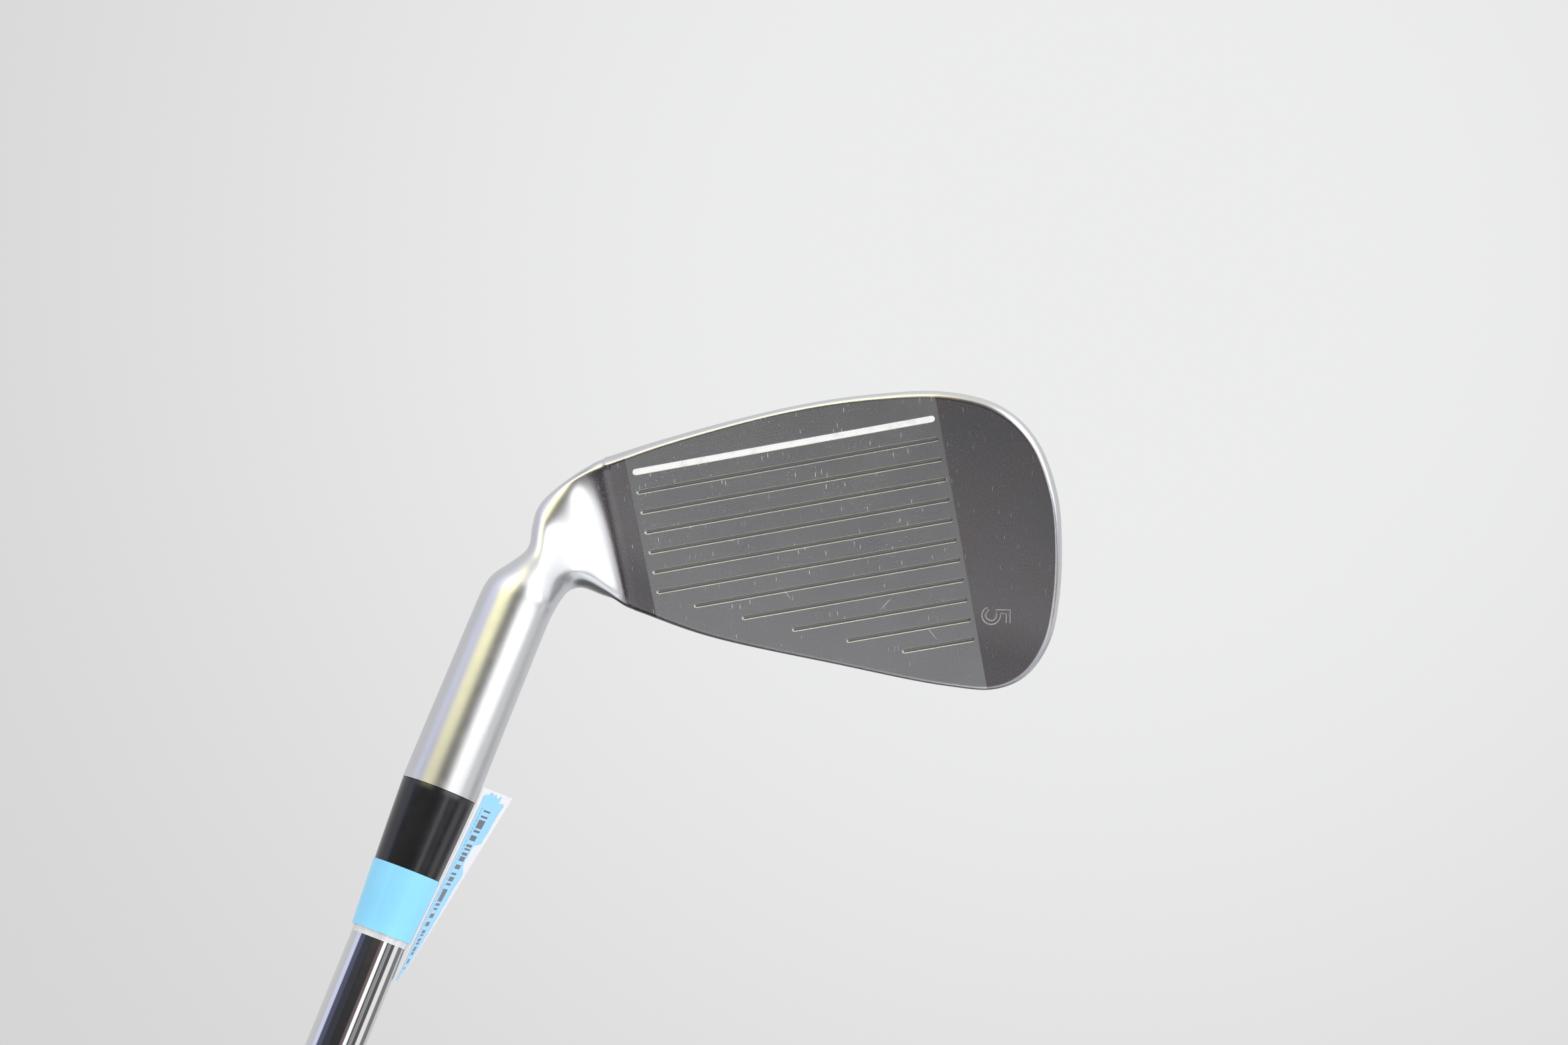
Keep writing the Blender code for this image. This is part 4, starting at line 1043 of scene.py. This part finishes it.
def make_world():
    """Pale backdrop, even light for matt surfaces, and soft panels in what shiny surfaces mirror."""
    world = bpy.data.worlds.new("studio")
    bpy.context.scene.world = world
    world.use_nodes = True
    n = Nodes(world.node_tree)
    direction = n.add("ShaderNodeTexCoord").outputs["Generated"]
    xyz = n.add("ShaderNodeSeparateXYZ", {"Vector": direction}).outputs
    degrees = 180.0 / math.pi
    azimuth = n.math("MULTIPLY", n.math("ARCTAN2", xyz["X"], n.math("MULTIPLY", xyz["Y"], -1.0)), degrees)
    elevation = n.math("MULTIPLY", n.math("ARCSINE", xyz["Z"]), degrees)
    color = n.mix(0.0, (0.78, 0.78, 0.80), (0.78, 0.78, 0.80))
    for across, up, half_width, half_height, soft, tint in PANELS:
        masks = []
        for angle, middle, half in ((azimuth, across, half_width), (elevation, up, half_height)):
            away = n.math("ABSOLUTE", n.math("SUBTRACT", angle, middle))
            masks.append(n.ramp(away, half + soft, half - soft * 0.5))
        color = n.mix(n.math("MULTIPLY", *masks), color, tint)
    glow = n.add("ShaderNodeVectorMath", {0: direction, 1: BACKDROP_GLOW}, operation="DISTANCE").outputs["Value"]
    backdrop = n.mix(n.ramp(glow, 0.10, 0.62), BACKDROP_BRIGHT, BACKDROP_DIM)
    rays = n.add("ShaderNodeLightPath").outputs
    color = n.mix(rays["Is Diffuse Ray"], color, DOME)
    color = n.mix(rays["Is Camera Ray"], color, backdrop)
    background = world.node_tree.nodes["Background"]
    world.node_tree.links.new(color, background.inputs["Color"])


def make_floor():
    """A pale floor that fades into the backdrop."""
    bm = bmesh.new()
    bmesh.ops.create_circle(bm, cap_ends=True, segments=96, radius=6.0)
    bmesh.ops.translate(bm, vec=(0.0, 0.0, -0.0005), verts=bm.verts)
    mesh = bpy.data.meshes.new("floor")
    bm.to_mesh(mesh)
    bm.free()
    floor = bpy.data.objects.new("floor", mesh)
    bpy.context.scene.collection.objects.link(floor)
    material, n, shader, place = new_material("pale_floor", 0.8)
    shader.inputs["Base Color"].default_value = (0.74, 0.735, 0.745, 1.0)
    distance = n.add("ShaderNodeVectorMath", {0: place}, operation="LENGTH").outputs["Value"]
    wire(n, shader, alpha=n.ramp(distance, 5.5, 1.2))
    mesh.materials.append(material)
    floor.visible_glossy = False


def make_lights():
    """One large soft key from the upper right, for form and a soft shadow."""
    light = bpy.data.lights.new("key", "AREA")
    light.shape = "RECTANGLE"
    light.size, light.size_y = 1.2, 1.2
    light.energy = 22.0
    key = bpy.data.objects.new("key", light)
    bpy.context.scene.collection.objects.link(key)
    key.location = (1.2, -1.3, 2.3)
    key.rotation_euler = (Vector((0.0, 0.0, 0.8)) - key.location).to_track_quat("-Z", "Y").to_euler()
    key.visible_glossy = False


def make_camera():
    data = bpy.data.cameras.new("camera")
    data.sensor_width = 36.0
    data.lens = 53.5
    data.clip_start = 0.01
    camera = bpy.data.objects.new("camera", data)
    bpy.context.scene.collection.objects.link(camera)
    camera.location = (0.0303, -0.3980, 0.8759)
    target = Vector((0.0382, -0.0032, 0.9660))
    roll = math.radians(20.9)
    aim = (target - camera.location).to_track_quat("-Z", "Y").to_matrix() @ Matrix.Rotation(roll, 3, "Z")
    camera.rotation_euler = aim.to_euler()
    bpy.context.scene.camera = camera


# Assembly ------------------------------------------------------------------------------------------

def place(made, node, slot):
    piece, material = made
    piece.data.materials.clear()
    piece.data.materials.append(material)
    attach(piece, "root")
    if node:
        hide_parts(node)


def main():
    bpy.context.scene.view_settings.view_transform = "Standard"
    make_camera()
    make_world()
    make_lights()
    make_floor()
    scratches, mottle = scratch_group(), mottle_group()
    steel = steel_material(scratches, mottle)
    rubber = rubber_material("moulded_rubber", mottle, (0.016, 0.016, 0.017), (0.026, 0.026, 0.027), 0.62, 0.82)
    soft = rubber_material("damping_rubber", mottle, (0.025, 0.025, 0.028), (0.04, 0.04, 0.044), 0.5, 0.7)
    place(make_head(steel), "head_casting", "satin_steel")
    place(make_aim_line(paint_material(mottle)), "aim_line_paint", "white_paint")
    place(make_insert(soft), "cavity_insert", "damping_rubber")
    place(make_badge(plate_material(mottle)), "cavity_badge", "badge_plate")
    place(make_ferrule(ferrule_material(scratches, mottle)), "ferrule", "ferrule_plastic")
    place(make_shaft(chrome_material(mottle)), "shaft", "chromed_steel")
    place(make_band(paper_material(mottle)), "label_band", "label_paper")
    place(make_film(film_material(mottle)), None, "label_paper")
    place(make_flag(tag_material(mottle)), "label_flag", "label_paper")
    place(make_grip(rubber), "grip_sleeve", "grip_rubber")
    place(make_cap(rubber), "grip_cap", "grip_rubber")
    place(make_decal(foil_material(mottle)), "shaft_band", "decal_foil")
    hidden = {
        "hosel_epoxy": hidden_material("cured_epoxy", mottle, (0.45, 0.33, 0.14), (0.6, 0.47, 0.24), 0.25),
        "tip_weight": hidden_material("turned_brass", mottle, (0.55, 0.4, 0.18), (0.7, 0.53, 0.26), 0.3, 1.0),
        "grip_tape": hidden_material("tape_paper", mottle, (0.7, 0.63, 0.5), (0.82, 0.76, 0.64), 0.8),
    }
    for node, material in hidden.items():
        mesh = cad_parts[node].data
        mesh.materials.clear()
        mesh.materials.append(material)


main()
